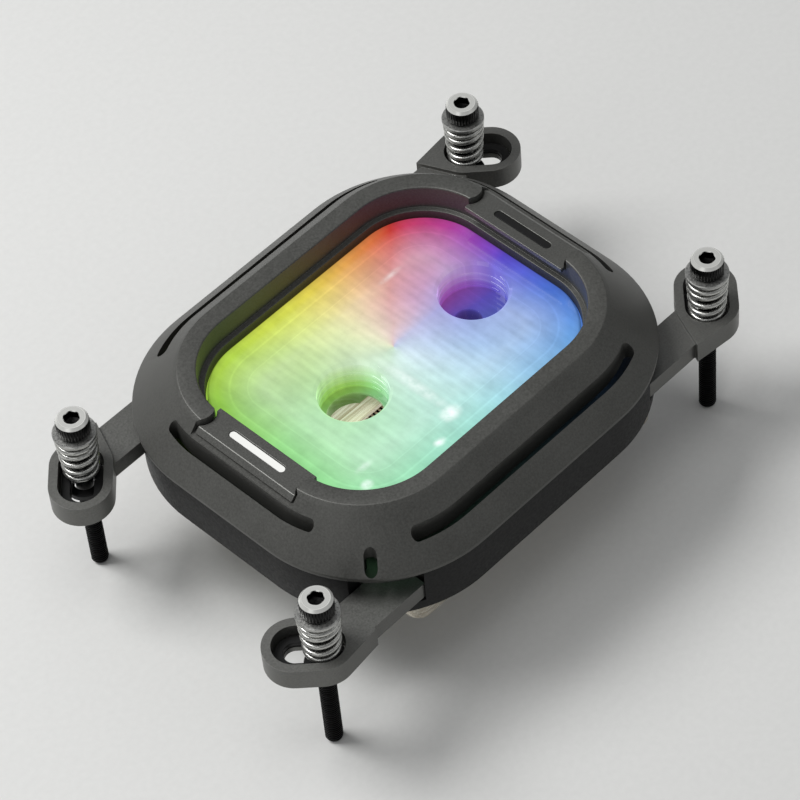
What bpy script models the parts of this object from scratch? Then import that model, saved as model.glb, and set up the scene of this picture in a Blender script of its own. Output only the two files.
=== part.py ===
"""Water block with a lit acrylic window, spring-loaded mounting screws and a micro-fin cold plate.

Metres, +Z up. The four mounting screws stand with their tips on z = 0. X runs along the
length of the block, Y across it, and the hole pattern is centred on the origin.
"""
import math

import bmesh
import bpy
from mathutils import Matrix

# Fit between pieces that touch or rest on each other
GAP = 0.0003
BORE_GAP = 0.00025

# Every outline of the block is one rectangle, grown by a radius that rounds its corners;
# the foot of the cover and the housing below it are also spread a little in Y
CORE_HALF_X = 0.0160
CORE_HALF_Y = 0.0094
SIDE_SPREAD = 0.00125
CORNER_STEPS = 6

# Mounting hole patterns: 90 x 54 mm, and 96 x 48 mm at the far end of each slot
HOLE_SPAN_X = 0.090
HOLE_SPAN_Y = 0.054
FAR_HOLE_SPAN_X = 0.096
FAR_HOLE_SPAN_Y = 0.048

# Mounting screw
SCREW_LENGTH = 0.0364
SCREW_SHANK_DIAMETER = 0.0030
SCREW_HEAD_DIAMETER = 0.0055
SCREW_HEAD_HEIGHT = 0.0030
SCREW_HEAD_CHAMFER = 0.0005
SCREW_SOCKET_ACROSS = 0.0025
SCREW_SOCKET_DEPTH = 0.0014
SCREW_TIP_CHAMFER = 0.0004

# Bracket
BRACKET_HEIGHT = 0.0208
ARM_THICKNESS = 0.0034
ARM_WIDTH = 0.0073
RING_EXTRA = 0.0001
PAD_RADIUS = 0.00525
PAD_RISE = 0.0006
PAD_DROP = 0.0002
PAD_TAIL_X = 0.0075
PAD_TAIL_Y = 0.0044
SPRING_SLOT_WIDTH = 0.0073
SPRING_SLOT_FLOOR = 0.0010
SCREW_SLOT_WIDTH = 0.0038
SLOT_LINER_THICKNESS = 0.0008
PLATE_CHAMFER = 0.0002

# Spring, washer and retaining clip on each mounting screw
SPRING_TOP_DIAMETER = 0.0070
SPRING_FOOT_DIAMETER = 0.0062
SPRING_WIRE = 0.0010
SPRING_ACTIVE_TURNS = 3.0
SPRING_STEPS_PER_TURN = 8
WASHER_DIAMETER = 0.0072
WASHER_THICKNESS = 0.0008
CLIP_DIAMETER = 0.0064
CLIP_THICKNESS = 0.0012

# Lower housing
HOUSING_WALL = 0.0019
HOUSING_FLOOR = 0.0021
HOUSING_HEIGHT = 0.0095
HOUSING_INSET = 0.0008

# Cover
COVER_HEIGHT = 0.0090
WINDOW_RADIUS = 0.0133
RIM_WIDTH = 0.0031
RIM_FILLET = 0.0007
FLANK_WIDTH = 0.0072
FOOT_EDGE = 0.0007
REBATE_DEPTH = 0.0046
REBATE_WIDTH = 0.0009
LEDGE_THICKNESS = 0.0022
POCKET_CEILING = 0.0018
POCKET_EDGE = 0.0028
LAMP_SPACE_WIDTH = 0.0036
SIDE_SLOT_OFFSET = 0.0042
SIDE_SLOT_WIDTH = 0.0019
SIDE_SLOT_HALF_ANGLE = 24.0
END_SLOT_OFFSET = 0.0030
END_SLOT_WIDTH = 0.0015
END_SLOT_HALF_ANGLE = 17.0
NOTCH_OFFSET = 0.0056
NOTCH_LENGTH = 0.0034
NOTCH_WIDTH = 0.0021
COVER_BOSS_DIAMETER = 0.0040
RIM_END_RADIUS = 0.0022
RIM_END_SHOULDER = 0.0004

# Plates set into the two ends of the rim
END_PLATE_LENGTH = 0.0200
END_PLATE_INNER = 0.0012
END_PLATE_OUTER = 0.0006
END_PLATE_SINK = 0.0011
END_PLATE_THICKNESS = 0.0009
END_PLATE_SLOPE = 0.0009
INLAY_LENGTH = 0.0120
INLAY_WIDTH = 0.0014
INLAY_DEPTH = 0.0004

# Acrylic top
ACRYLIC_DEPTH = 0.0056
ACRYLIC_EDGE = 0.0004
SHOULDER_WIDTH = 0.0030
CHAMBER_RADIUS = 0.0056
CHAMBER_SIDE = 0.0013
PORT_SPACING = 0.0280
PORT_CENTRE_X = 0.0044
PORT_DIAMETER = 0.0118
PORT_DEPTH = 0.0060
PORT_CHAMFER = 0.0005
INLET_BORE = 0.0096
OUTLET_BORE = 0.0050
OUTLET_BORE_SHIFT = 0.0016
PORT_STEPS = 28
PLENUM_LENGTH = 0.0260
PLENUM_WIDTH = 0.0060
PLENUM_DEPTH = 0.0021

# Main seal
SEAL_WIRE = 0.0012
SEAL_SIDE = 0.0005

# Jet plate
JET_PLATE_THICKNESS = 0.0008
JET_PLATE_BORDER = 0.0005
JET_SLIT_LENGTH = 0.0240
JET_SLIT_WIDTH = 0.0012

# Cold plate
COLD_PLATE_MARGIN = 0.0027
COLD_PLATE_CORNER = 0.0025
COLD_PLATE_FLANGE = 0.0028
CONTACT_LENGTH = 0.0400
CONTACT_WIDTH = 0.0340
CONTACT_HEIGHT = 0.0008
CONTACT_CORNER = 0.0020
FIN_LENGTH = 0.0260
FIN_AREA = 0.0280
FIN_HEIGHT = 0.0034
FIN_PITCH = 0.0008
FIN_THICKNESS = 0.0004
FIN_ROOT = 0.0006

# Light ring
LIGHT_GUIDE_HEIGHT = 0.0016
LED_BOARD_THICKNESS = 0.0010
LED_SIZE = 0.0024
LED_HEIGHT = 0.0007
LED_SIDE_COUNT = 5
LED_END_COUNT = 3

# Screws that hold the block together
BASE_SCREW_DIAMETER = 0.0025
BASE_SCREW_HEAD = 0.0044
BASE_SCREW_OVERHANG = 0.0040
BASE_SCREW_INSET = 0.0028
BASE_SCREW_EDGE = 0.0029
BASE_SCREW_BITE = 0.0024
COVER_SCREW_DIAMETER = 0.0020
COVER_SCREW_HEAD = 0.0034
COVER_SCREW_HEAD_HEIGHT = 0.0012
COVER_SCREW_ANGLE = 39.0
COVER_SCREW_BITE = 0.0036
DRIVE_ACROSS = 0.0013
DRIVE_DEPTH = 0.0006

TURN_STEPS = 16
SMALL_TURN_STEPS = 10

# Outline radii, worked out from the cover's window outwards
rim_outer = WINDOW_RADIUS + RIM_WIDTH
foot_radius = rim_outer + FLANK_WIDTH
opening_radius = WINDOW_RADIUS - REBATE_WIDTH
acrylic_radius = opening_radius - GAP
shoulder_radius = acrylic_radius + SHOULDER_WIDTH
housing_outer = foot_radius - HOUSING_INSET
housing_inner = housing_outer - HOUSING_WALL
floor_opening = shoulder_radius + GAP
ring_outer = housing_inner - GAP
lamp_space = opening_radius + LAMP_SPACE_WIDTH
pocket_radius = foot_radius - POCKET_EDGE
seal_groove_inner = CHAMBER_RADIUS + CHAMBER_SIDE
seal_radius = seal_groove_inner + SEAL_SIDE + SEAL_WIRE / 2
seal_groove_outer = seal_radius + SEAL_WIRE / 2 + SEAL_SIDE
cover_screw_ring = lamp_space + COVER_BOSS_DIAMETER / 2 + GAP

# Levels, worked out from the bracket's underside
bracket_top = BRACKET_HEIGHT + ARM_THICKNESS
pad_top = bracket_top + PAD_RISE
pad_bottom = BRACKET_HEIGHT - PAD_DROP
slot_floor = pad_bottom + SPRING_SLOT_FLOOR
liner_bottom = slot_floor + GAP
liner_top = liner_bottom + SLOT_LINER_THICKNESS
housing_floor_top = BRACKET_HEIGHT - GAP
housing_bottom = housing_floor_top - HOUSING_FLOOR
housing_top = housing_bottom + HOUSING_HEIGHT
cover_foot = housing_top + GAP
rim_top = cover_foot + COVER_HEIGHT
ledge_top = rim_top - REBATE_DEPTH
ledge_bottom = ledge_top - LEDGE_THICKNESS
pocket_top = cover_foot + POCKET_CEILING
flange_top = housing_bottom - GAP
flange_bottom = flange_top - COLD_PLATE_FLANGE
contact_face = flange_bottom - CONTACT_HEIGHT
fin_top = flange_top + FIN_HEIGHT
jet_bottom = fin_top + GAP
jet_top = jet_bottom + JET_PLATE_THICKNESS
acrylic_bottom = flange_top + GAP
acrylic_top_level = rim_top - ACRYLIC_DEPTH
chamber_top = jet_top + GAP
plenum_top = chamber_top + PLENUM_DEPTH
port_floor = acrylic_top_level - PORT_DEPTH
base_screw_face = flange_bottom + GAP

hole_x = HOLE_SPAN_X / 2
hole_y = HOLE_SPAN_Y / 2
far_x = FAR_HOLE_SPAN_X / 2
far_y = FAR_HOLE_SPAN_Y / 2
corners = [(1, 1), (-1, 1), (-1, -1), (1, -1)]


def clear_scene():
    for item in list(bpy.data.objects):
        bpy.data.objects.remove(item, do_unlink=True)


clear_scene()
block = bpy.data.collections.new("water_block")
cutters = bpy.data.collections.new("cutters")
for group in (block, cutters):
    bpy.context.scene.collection.children.link(group)


def make_material(name, colour, roughness, metallic, transmission=0.0):
    material = bpy.data.materials.new(name)
    material.use_nodes = True
    shader = material.node_tree.nodes["Principled BSDF"]
    shader.inputs["Base Color"].default_value = (*colour, 1.0)
    shader.inputs["Roughness"].default_value = roughness
    shader.inputs["Metallic"].default_value = metallic
    shader.inputs["Transmission Weight"].default_value = transmission
    return material


def place(name, mesh, collection, material=None, smooth=None):
    """Link a mesh as an object; smooth is the angle in degrees above which an edge stays sharp."""
    item = bpy.data.objects.new(name, mesh)
    collection.objects.link(item)
    if material is not None:
        mesh.materials.append(material)
    if smooth is not None:
        mesh.shade_smooth()
        mesh.set_sharp_from_angle(angle=math.radians(smooth))
    if collection is cutters:
        item.hide_render = True
        item.display_type = "WIRE"
    return item


def mesh_from(bm, name):
    bmesh.ops.recalc_face_normals(bm, faces=bm.faces)
    mesh = bpy.data.meshes.new(name)
    bm.to_mesh(mesh)
    bm.free()
    return mesh


def rounded_outline(radius, half_x=CORE_HALF_X, half_y=CORE_HALF_Y, steps=CORNER_STEPS):
    """Points of the core rectangle grown by radius, anticlockwise from +X."""
    points = []
    for quarter, (side_x, side_y) in enumerate(corners):
        for step in range(steps + 1):
            angle = math.radians(90 * (quarter + step / steps))
            x = side_x * half_x + radius * math.cos(angle)
            y = side_y * half_y + radius * math.sin(angle)
            points.append((x, y))
    return points


def add_rings(bm, levels):
    """One ring of points for each (radius, z) or (radius, z, extra half width in Y)."""
    rings = []
    for radius, z, *spread in levels:
        outline = rounded_outline(radius, half_y=CORE_HALF_Y + sum(spread))
        rings.append([bm.verts.new((x, y, z)) for x, y in outline])
    return rings


def bridge(bm, lower, upper):
    count = len(lower)
    for i in range(count):
        j = (i + 1) % count
        bm.faces.new((lower[i], lower[j], upper[j], upper[i]))


def lofted_ring(name, levels, collection, material=None):
    """A closed band: its section's corners are (radius, z), taken in order round the section."""
    bm = bmesh.new()
    rings = add_rings(bm, levels)
    for i, ring in enumerate(rings):
        bridge(bm, ring, rings[(i + 1) % len(rings)])
    return place(name, mesh_from(bm, name), collection, material, smooth=30)


def lofted_solid(name, levels, collection, material=None):
    """A solid of stacked outlines with a flat face at each end."""
    bm = bmesh.new()
    rings = add_rings(bm, levels)
    for lower, upper in zip(rings, rings[1:]):
        bridge(bm, lower, upper)
    bm.faces.new(rings[0])
    bm.faces.new(rings[-1])
    return place(name, mesh_from(bm, name), collection, material, smooth=30)


def flat_plate(name, outlines, bottom, top, collection, material=None, chamfer=0.0):
    """Flat outlines (the first inside others cuts a hole) extruded from bottom to top."""
    curve = bpy.data.curves.new(name, "CURVE")
    curve.dimensions = "2D"
    curve.fill_mode = "BOTH"
    curve.extrude = (top - bottom) / 2 - chamfer
    curve.bevel_depth = chamfer
    curve.bevel_resolution = 0
    curve.offset = -chamfer
    for points in outlines:
        spline = curve.splines.new("POLY")
        spline.points.add(len(points) - 1)
        for spot, (x, y) in zip(spline.points, points):
            spot.co = (x, y, 0, 1)
        spline.use_cyclic_u = True
    source = bpy.data.objects.new(name + "_curve", curve)
    source.location.z = (top + bottom) / 2
    bpy.context.scene.collection.objects.link(source)
    bpy.context.view_layer.update()
    evaluated = source.evaluated_get(bpy.context.evaluated_depsgraph_get())
    mesh = bpy.data.meshes.new_from_object(evaluated)
    mesh.name = name
    mesh.transform(source.matrix_world)
    bpy.data.objects.remove(source, do_unlink=True)
    bm = bmesh.new()
    bm.from_mesh(mesh)
    bmesh.ops.remove_doubles(bm, verts=bm.verts, dist=0.000002)
    bmesh.ops.recalc_face_normals(bm, faces=bm.faces)
    bm.to_mesh(mesh)
    bm.free()
    mesh.materials.clear()
    return place(name, mesh, collection, material, smooth=30)


def cylinders(name, spots, radius, bottom, top, segments=TURN_STEPS, top_radius=None):
    """One cutter mesh with an upright cylinder or cone at each spot."""
    bm = bmesh.new()
    for x, y in spots:
        centre = Matrix.Translation((x, y, (bottom + top) / 2))
        upper = radius if top_radius is None else top_radius
        bmesh.ops.create_cone(bm, cap_ends=True, segments=segments, radius1=radius, radius2=upper,
                              depth=top - bottom, matrix=centre)
    return place(name, mesh_from(bm, name), cutters)


def boxes(name, spans, collection=cutters, material=None):
    """One mesh with a box for each ((low x, high x), (low y, high y), (low z, high z))."""
    bm = bmesh.new()
    for span in spans:
        middle = [(low + high) / 2 for low, high in span]
        size = [abs(high - low) for low, high in span]
        shape = Matrix.Translation(middle) @ Matrix.Diagonal((*size, 1.0))
        bmesh.ops.create_cube(bm, size=1.0, matrix=shape)
    return place(name, mesh_from(bm, name), collection, material)


def combine(target, cutter, operation="DIFFERENCE"):
    modifier = target.modifiers.new(cutter.name, "BOOLEAN")
    modifier.object = cutter
    modifier.operation = operation
    modifier.solver = "EXACT"


def turned(name, profile, collection, material=None, steps=TURN_STEPS, spot=(0, 0)):
    """A turned piece: profile runs down the outer side, top to bottom, as (radius, z)."""
    mesh = bpy.data.meshes.new(name)
    verts = [(radius, 0, z) for radius, z in profile]
    edges = [(i, i + 1) for i in range(len(profile) - 1)]
    mesh.from_pydata(verts, edges, [])
    item = place(name, mesh, collection, material)
    item.location = (spot[0], spot[1], 0)
    modifier = item.modifiers.new("turn", "SCREW")
    modifier.axis = "Z"
    modifier.steps = steps
    modifier.render_steps = steps
    modifier.use_merge_vertices = True
    modifier.merge_threshold = 0.00001
    modifier.use_smooth_shade = True
    return item


def washer_profile(inner, outer, bottom, top, edge):
    """Closed section of a flat ring with broken outer edges."""
    return [
        (inner, top),
        (outer - edge, top),
        (outer, top - edge),
        (outer, bottom + edge),
        (outer - edge, bottom),
        (inner, bottom),
        (inner, top),
    ]


def stadium(start, end, radius, steps=8):
    """Outline round the line from start to end, with round ends."""
    heading = math.atan2(end[1] - start[1], end[0] - start[0])
    points = []
    for centre, first in ((end, heading - math.pi / 2), (start, heading + math.pi / 2)):
        for step in range(steps + 1):
            angle = first + math.pi * step / steps
            points.append((centre[0] + radius * math.cos(angle), centre[1] + radius * math.sin(angle)))
    return points


def ribbon(path, width, steps=6):
    """Outline of a band of the given width along a path, with round ends."""
    half = width / 2
    left, right = [], []
    headings = []
    for i in range(len(path)):
        before = path[max(i - 1, 0)]
        after = path[min(i + 1, len(path) - 1)]
        headings.append(math.atan2(after[1] - before[1], after[0] - before[0]))
    for (x, y), heading in zip(path, headings):
        left.append((x - half * math.sin(heading), y + half * math.cos(heading)))
        right.append((x + half * math.sin(heading), y - half * math.cos(heading)))
    cap_end = []
    cap_start = []
    for step in range(1, steps):
        turn = math.pi * step / steps
        angle = headings[-1] - math.pi / 2 + turn
        cap_end.append((path[-1][0] + half * math.cos(angle), path[-1][1] + half * math.sin(angle)))
        angle = headings[0] + math.pi / 2 + turn
        cap_start.append((path[0][0] + half * math.cos(angle), path[0][1] + half * math.sin(angle)))
    return right + cap_end + left[::-1] + cap_start


def convex_outline(points):
    """Convex outline round the points, anticlockwise."""
    ordered = sorted(set(points))

    def half_hull(sequence):
        hull = []
        for p in sequence:
            while len(hull) > 1:
                (ax, ay), (bx, by) = hull[-2], hull[-1]
                if (bx - ax) * (p[1] - ay) - (by - ay) * (p[0] - ax) > 0:
                    break
                hull.pop()
            hull.append(p)
        return hull[:-1]

    return half_hull(ordered) + half_hull(ordered[::-1])


def side_slot_path(radius, side, half_angle):
    """Along a long side (side is +1 or -1 in Y), past the straight part into both corners."""
    path = []
    for step in range(5):
        angle = math.radians(half_angle * (1 - step / 4))
        x = -CORE_HALF_X - radius * math.sin(angle)
        path.append((x, side * (CORE_HALF_Y + radius * math.cos(angle))))
    return path + [(-x, y) for x, y in path[::-1]]


def end_slot_path(radius, side, half_angle):
    path = []
    for step in range(4):
        angle = math.radians(half_angle * (1 - step / 3))
        y = -CORE_HALF_Y - radius * math.sin(angle)
        path.append((side * (CORE_HALF_X + radius * math.cos(angle)), y))
    return path + [(x, -y) for x, y in path[::-1]]


grey_anodised = make_material("grey_anodised_aluminium", (0.085, 0.086, 0.083), 0.42, 0.7)
bracket_grey = make_material("bracket_anodised_aluminium", (0.16, 0.16, 0.16), 0.4, 0.8)
black_plastic = make_material("black_moulded_plastic", (0.02, 0.02, 0.02), 0.5, 0.0)
clear_acrylic = make_material("clear_acrylic", (0.85, 0.9, 0.88), 0.06, 0.0, 1.0)
white_diffuser = make_material("opal_light_guide", (0.9, 0.9, 0.9), 0.4, 0.0)
board_black = make_material("black_circuit_board", (0.015, 0.02, 0.015), 0.45, 0.0)
nickel = make_material("nickel_plated_copper", (0.62, 0.58, 0.52), 0.22, 1.0)
steel = make_material("stainless_steel", (0.56, 0.56, 0.55), 0.28, 1.0)
dark_steel = make_material("black_oxide_steel", (0.05, 0.05, 0.05), 0.35, 0.9)
spring_steel = make_material("nickel_plated_spring_wire", (0.6, 0.6, 0.58), 0.25, 1.0)
black_rubber = make_material("black_seal_rubber", (0.01, 0.01, 0.01), 0.6, 0.0)
black_nylon = make_material("black_nylon", (0.02, 0.02, 0.02), 0.45, 0.0)

base_screw_x = CORE_HALF_X + BASE_SCREW_OVERHANG
base_screw_y = CORE_HALF_Y + floor_opening + BASE_SCREW_INSET
cold_plate_half_x = CORE_HALF_X + seal_groove_outer + COLD_PLATE_MARGIN
cold_plate_half_y = base_screw_y + BASE_SCREW_EDGE
base_screw_spots = []
for side_y in (1, -1):
    for x in (-base_screw_x, 0.0, base_screw_x):
        base_screw_spots.append((x, side_y * base_screw_y))
cover_screw_x = CORE_HALF_X + cover_screw_ring * math.cos(math.radians(COVER_SCREW_ANGLE))
cover_screw_y = CORE_HALF_Y + cover_screw_ring * math.sin(math.radians(COVER_SCREW_ANGLE))
cover_screw_spots = [(sx * cover_screw_x, sy * cover_screw_y) for sx, sy in corners]
inlet_spot = (PORT_CENTRE_X - PORT_SPACING / 2, 0.0)
outlet_spot = (PORT_CENTRE_X + PORT_SPACING / 2, 0.0)
port_spots = [inlet_spot, outlet_spot]


def end_plate_outline(side, inner, outer, trim=0.0):
    """End plate's outline, whose hollow ends follow the round ends of the rim; trim is its clearance."""
    middle = CORE_HALF_X + WINDOW_RADIUS + RIM_WIDTH / 2
    shoulder = RIM_WIDTH / 2 + RIM_END_SHOULDER
    centre = END_PLATE_LENGTH / 2 + RIM_END_RADIUS
    radius = RIM_END_RADIUS + trim
    half = []
    for step in range(7):
        across = shoulder * (step / 3 - 1)
        half.append((middle + across, centre - math.sqrt(radius ** 2 - across ** 2)))
    half = [(inner, half[0][1])] + half + [(outer, half[-1][1])]
    return [(side * x, y) for x, y in half] + [(side * x, -y) for x, y in half[::-1]]


def two_outline_solid(name, lower, upper, bottom, top, collection, material=None):
    """Solid between two flat outlines with as many points each."""
    bm = bmesh.new()
    rings = []
    for points, z in ((lower, bottom), (upper, top)):
        rings.append([bm.verts.new((x, y, z)) for x, y in points])
        bm.faces.new(rings[-1])
    bridge(bm, rings[0], rings[1])
    return place(name, mesh_from(bm, name), collection, material, smooth=30)


def build_cover():
    """Bezel: flat raised rim round the window, sloping flanks with slots, hollow below."""
    flank_top = rim_top - RIM_FILLET
    levels = [
        (foot_radius, cover_foot, SIDE_SPREAD),
        (foot_radius, cover_foot + FOOT_EDGE, SIDE_SPREAD),
        (rim_outer + RIM_FILLET, flank_top),
        (rim_outer + RIM_FILLET * 0.5, rim_top - RIM_FILLET * 0.3),
        (rim_outer, rim_top),
        (WINDOW_RADIUS, rim_top),
        (WINDOW_RADIUS, ledge_top),
        (opening_radius, ledge_top),
        (opening_radius, ledge_bottom),
        (lamp_space, ledge_bottom),
        (lamp_space, pocket_top),
        (pocket_radius, pocket_top, SIDE_SPREAD),
        (pocket_radius, cover_foot, SIDE_SPREAD),
    ]
    cover = lofted_ring("cover", levels, block, grey_anodised)

    boss_bottom = bracket_top + GAP
    boss_top = pocket_top + (rim_top - pocket_top) * 0.1
    combine(cover, cylinders("cover_bosses", cover_screw_spots, COVER_BOSS_DIAMETER / 2,
                             boss_bottom, boss_top, SMALL_TURN_STEPS), "UNION")
    tap = COVER_SCREW_DIAMETER / 2 + BORE_GAP
    combine(cover, cylinders("cover_taps", cover_screw_spots, tap, boss_bottom - GAP,
                             boss_bottom + COVER_SCREW_BITE + GAP, SMALL_TURN_STEPS))

    slots = []
    for side in (1, -1):
        along = side_slot_path(rim_outer + SIDE_SLOT_OFFSET, side, SIDE_SLOT_HALF_ANGLE)
        slots.append(ribbon(along, SIDE_SLOT_WIDTH))
        across = end_slot_path(rim_outer + END_SLOT_OFFSET, side, END_SLOT_HALF_ANGLE)
        slots.append(ribbon(across, END_SLOT_WIDTH))
    below = cover_foot - GAP
    above = rim_top + GAP
    combine(cover, flat_plate("flank_slots", slots, below, above, cutters))

    diagonal = math.sqrt(0.5)
    first = rim_outer + NOTCH_OFFSET
    last = first + NOTCH_LENGTH - NOTCH_WIDTH
    notch_ends = []
    for radius in (first, last):
        notch_ends.append((-CORE_HALF_X - radius * diagonal, -CORE_HALF_Y - radius * diagonal))
    notch = stadium(notch_ends[0], notch_ends[1], NOTCH_WIDTH / 2)
    combine(cover, flat_plate("corner_notch", [notch], below, above, cutters))

    recess_floor = rim_top - END_PLATE_SINK - END_PLATE_THICKNESS - GAP
    recess_inner = CORE_HALF_X + WINDOW_RADIUS - END_PLATE_INNER - GAP
    recess_outer = CORE_HALF_X + foot_radius + REBATE_WIDTH
    for side in (1, -1):
        outline = end_plate_outline(side, recess_inner, recess_outer)
        name = "end_plate_recess_" + str(side + 2)
        combine(cover, two_outline_solid(name, outline, outline, recess_floor, above, cutters))


def build_end_plate(name, side):
    """Plate in the rim's end; its outer edge leans with the flank."""
    top = rim_top - END_PLATE_SINK
    bottom = top - END_PLATE_THICKNESS
    inner = CORE_HALF_X + WINDOW_RADIUS - END_PLATE_INNER
    outer = CORE_HALF_X + rim_outer + END_PLATE_OUTER
    lower = end_plate_outline(side, inner, outer + END_PLATE_SLOPE, GAP)
    upper = end_plate_outline(side, inner, outer, GAP)
    plate = two_outline_solid(name, lower, upper, bottom, top, block, grey_anodised)
    middle = side * (inner + outer) / 2
    reach = INLAY_LENGTH / 2 - INLAY_WIDTH / 2
    inlay = stadium((middle, -reach), (middle, reach), INLAY_WIDTH / 2)
    combine(plate, flat_plate(name + "_inlay", [inlay], top - INLAY_DEPTH, top + GAP, cutters))


def build_light_ring():
    """Opal guide round the acrylic, and the board with its lamps below it."""
    inner = acrylic_radius + GAP
    outer = lamp_space - GAP
    guide_top = ledge_bottom - GAP
    guide_bottom = guide_top - LIGHT_GUIDE_HEIGHT
    lofted_ring("light_guide", [(inner, guide_bottom), (inner, guide_top), (outer, guide_top),
                                (outer, guide_bottom)], block, white_diffuser)

    lamp_top = guide_bottom - GAP
    board_top = lamp_top - LED_HEIGHT
    board_bottom = board_top - LED_BOARD_THICKNESS
    board = lofted_ring("led_board", [(inner, board_bottom), (inner, board_top), (outer, board_top),
                                      (outer, board_bottom)], block, board_black)
    middle = (inner + outer) / 2
    half = LED_SIZE / 2
    spots = []
    for side in (1, -1):
        for i in range(LED_SIDE_COUNT):
            x = CORE_HALF_X * (2 * i / (LED_SIDE_COUNT - 1) - 1)
            spots.append((x, side * (CORE_HALF_Y + middle)))
        for i in range(LED_END_COUNT):
            y = CORE_HALF_Y * (2 * i / (LED_END_COUNT - 1) - 1)
            spots.append((side * (CORE_HALF_X + middle), y))
    lamp_low = board_top - LED_BOARD_THICKNESS / 2
    spans = [((x - half, x + half), (y - half, y + half), (lamp_low, lamp_top)) for x, y in spots]
    combine(board, boxes("lamps", spans), "UNION")


def build_acrylic():
    """Clear manifold: two ports, inlet plenum, fin chamber, seal groove and clamped shoulder.

    The inlet opens wide onto the jet plate; the outlet has a narrower passage on its inner side.
    """
    shoulder_top = BRACKET_HEIGHT - GAP
    levels = [
        (shoulder_radius, acrylic_bottom),
        (shoulder_radius, shoulder_top),
        (acrylic_radius, shoulder_top),
        (acrylic_radius, acrylic_top_level - ACRYLIC_EDGE),
        (acrylic_radius - ACRYLIC_EDGE, acrylic_top_level),
    ]
    acrylic = lofted_solid("acrylic_top", levels, block, clear_acrylic)
    under = acrylic_bottom - GAP
    combine(acrylic, lofted_solid("fin_chamber", [(CHAMBER_RADIUS, under), (CHAMBER_RADIUS, chamber_top)],
                                  cutters))
    groove_top = acrylic_bottom + SEAL_WIRE + GAP
    groove = [(seal_groove_inner, under), (seal_groove_inner, groove_top), (seal_groove_outer, groove_top),
              (seal_groove_outer, under)]
    combine(acrylic, lofted_ring("seal_groove", groove, cutters))
    length = PLENUM_LENGTH / 2
    width = PLENUM_WIDTH / 2
    combine(acrylic, boxes("plenum", [((-length, length), (-width, width), (jet_top, plenum_top))]))
    mouth = acrylic_top_level + GAP
    combine(acrylic, cylinders("inlet_bore", [inlet_spot], INLET_BORE / 2, jet_top, port_floor + GAP,
                               PORT_STEPS))
    passage = (outlet_spot[0] - OUTLET_BORE_SHIFT, outlet_spot[1])
    combine(acrylic, cylinders("outlet_bore", [passage], OUTLET_BORE / 2, jet_top, port_floor + GAP,
                               PORT_STEPS))
    combine(acrylic, cylinders("port_threads", port_spots, PORT_DIAMETER / 2, port_floor, mouth, PORT_STEPS))
    combine(acrylic, cylinders("port_chamfers", port_spots, PORT_DIAMETER / 2 - GAP,
                               acrylic_top_level - PORT_CHAMFER - GAP, mouth, PORT_STEPS,
                               top_radius=PORT_DIAMETER / 2 + PORT_CHAMFER + GAP))


def build_seal():
    curve = bpy.data.curves.new("main_seal", "CURVE")
    curve.dimensions = "3D"
    curve.bevel_depth = SEAL_WIRE / 2
    curve.bevel_resolution = 2
    points = rounded_outline(seal_radius, steps=6)
    spline = curve.splines.new("POLY")
    spline.points.add(len(points) - 1)
    height = acrylic_bottom + SEAL_WIRE / 2
    for spot, (x, y) in zip(spline.points, points):
        spot.co = (x, y, height, 1)
    spline.use_cyclic_u = True
    curve.materials.append(black_rubber)
    block.objects.link(bpy.data.objects.new("main_seal", curve))


def build_jet_plate():
    half_x = FIN_AREA / 2 + JET_PLATE_BORDER
    half_y = FIN_LENGTH / 2 + JET_PLATE_BORDER
    outline = [(half_x, half_y), (-half_x, half_y), (-half_x, -half_y), (half_x, -half_y)]
    reach = JET_SLIT_LENGTH / 2
    slit = stadium((-reach, 0), (reach, 0), JET_SLIT_WIDTH / 2)
    flat_plate("jet_plate", [outline, slit], jet_bottom, jet_top, block, steel)


def build_cold_plate():
    """Flange with countersunk holes, polished contact face below and a block of thin fins above."""
    def plate_outline(half_x, half_y, corner):
        return rounded_outline(corner, half_x - corner, half_y - corner, 5)

    flange = plate_outline(cold_plate_half_x, cold_plate_half_y, COLD_PLATE_CORNER)
    plate = flat_plate("cold_plate", [flange], flange_bottom, flange_top, block, nickel, PLATE_CHAMFER)
    face = plate_outline(CONTACT_LENGTH / 2, CONTACT_WIDTH / 2, CONTACT_CORNER)
    contact = flat_plate("contact_pad", [face], contact_face, flange_bottom + FIN_ROOT, cutters, None,
                         PLATE_CHAMFER)
    combine(plate, contact, "UNION")
    half_x = FIN_AREA / 2
    half_y = FIN_LENGTH / 2
    fins = boxes("fin_block", [((-half_x, half_x), (-half_y, half_y), (flange_top - FIN_ROOT, fin_top))])
    combine(plate, fins, "UNION")
    count = int((FIN_AREA - FIN_THICKNESS) / FIN_PITCH)
    pitch = (FIN_AREA - FIN_THICKNESS) / count
    grooves = []
    for i in range(count):
        start = -half_x + FIN_THICKNESS + i * pitch
        grooves.append(((start, start + pitch - FIN_THICKNESS), (-half_y - GAP, half_y + GAP),
                        (flange_top + FIN_ROOT, fin_top + GAP)))
    combine(plate, boxes("fin_grooves", grooves))
    hole = BASE_SCREW_DIAMETER / 2 + BORE_GAP
    combine(plate, cylinders("flange_holes", base_screw_spots, hole, flange_bottom - GAP, flange_top + GAP,
                             SMALL_TURN_STEPS))
    sink = BASE_SCREW_HEAD / 2 + BORE_GAP
    sink_rim = base_screw_face + 2 * GAP
    combine(plate, cylinders("countersinks", base_screw_spots, sink, flange_bottom - GAP, sink_rim,
                             SMALL_TURN_STEPS))
    combine(plate, cylinders("countersink_cones", base_screw_spots, sink, sink_rim, sink_rim + sink,
                             SMALL_TURN_STEPS, top_radius=GAP / 2))


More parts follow.
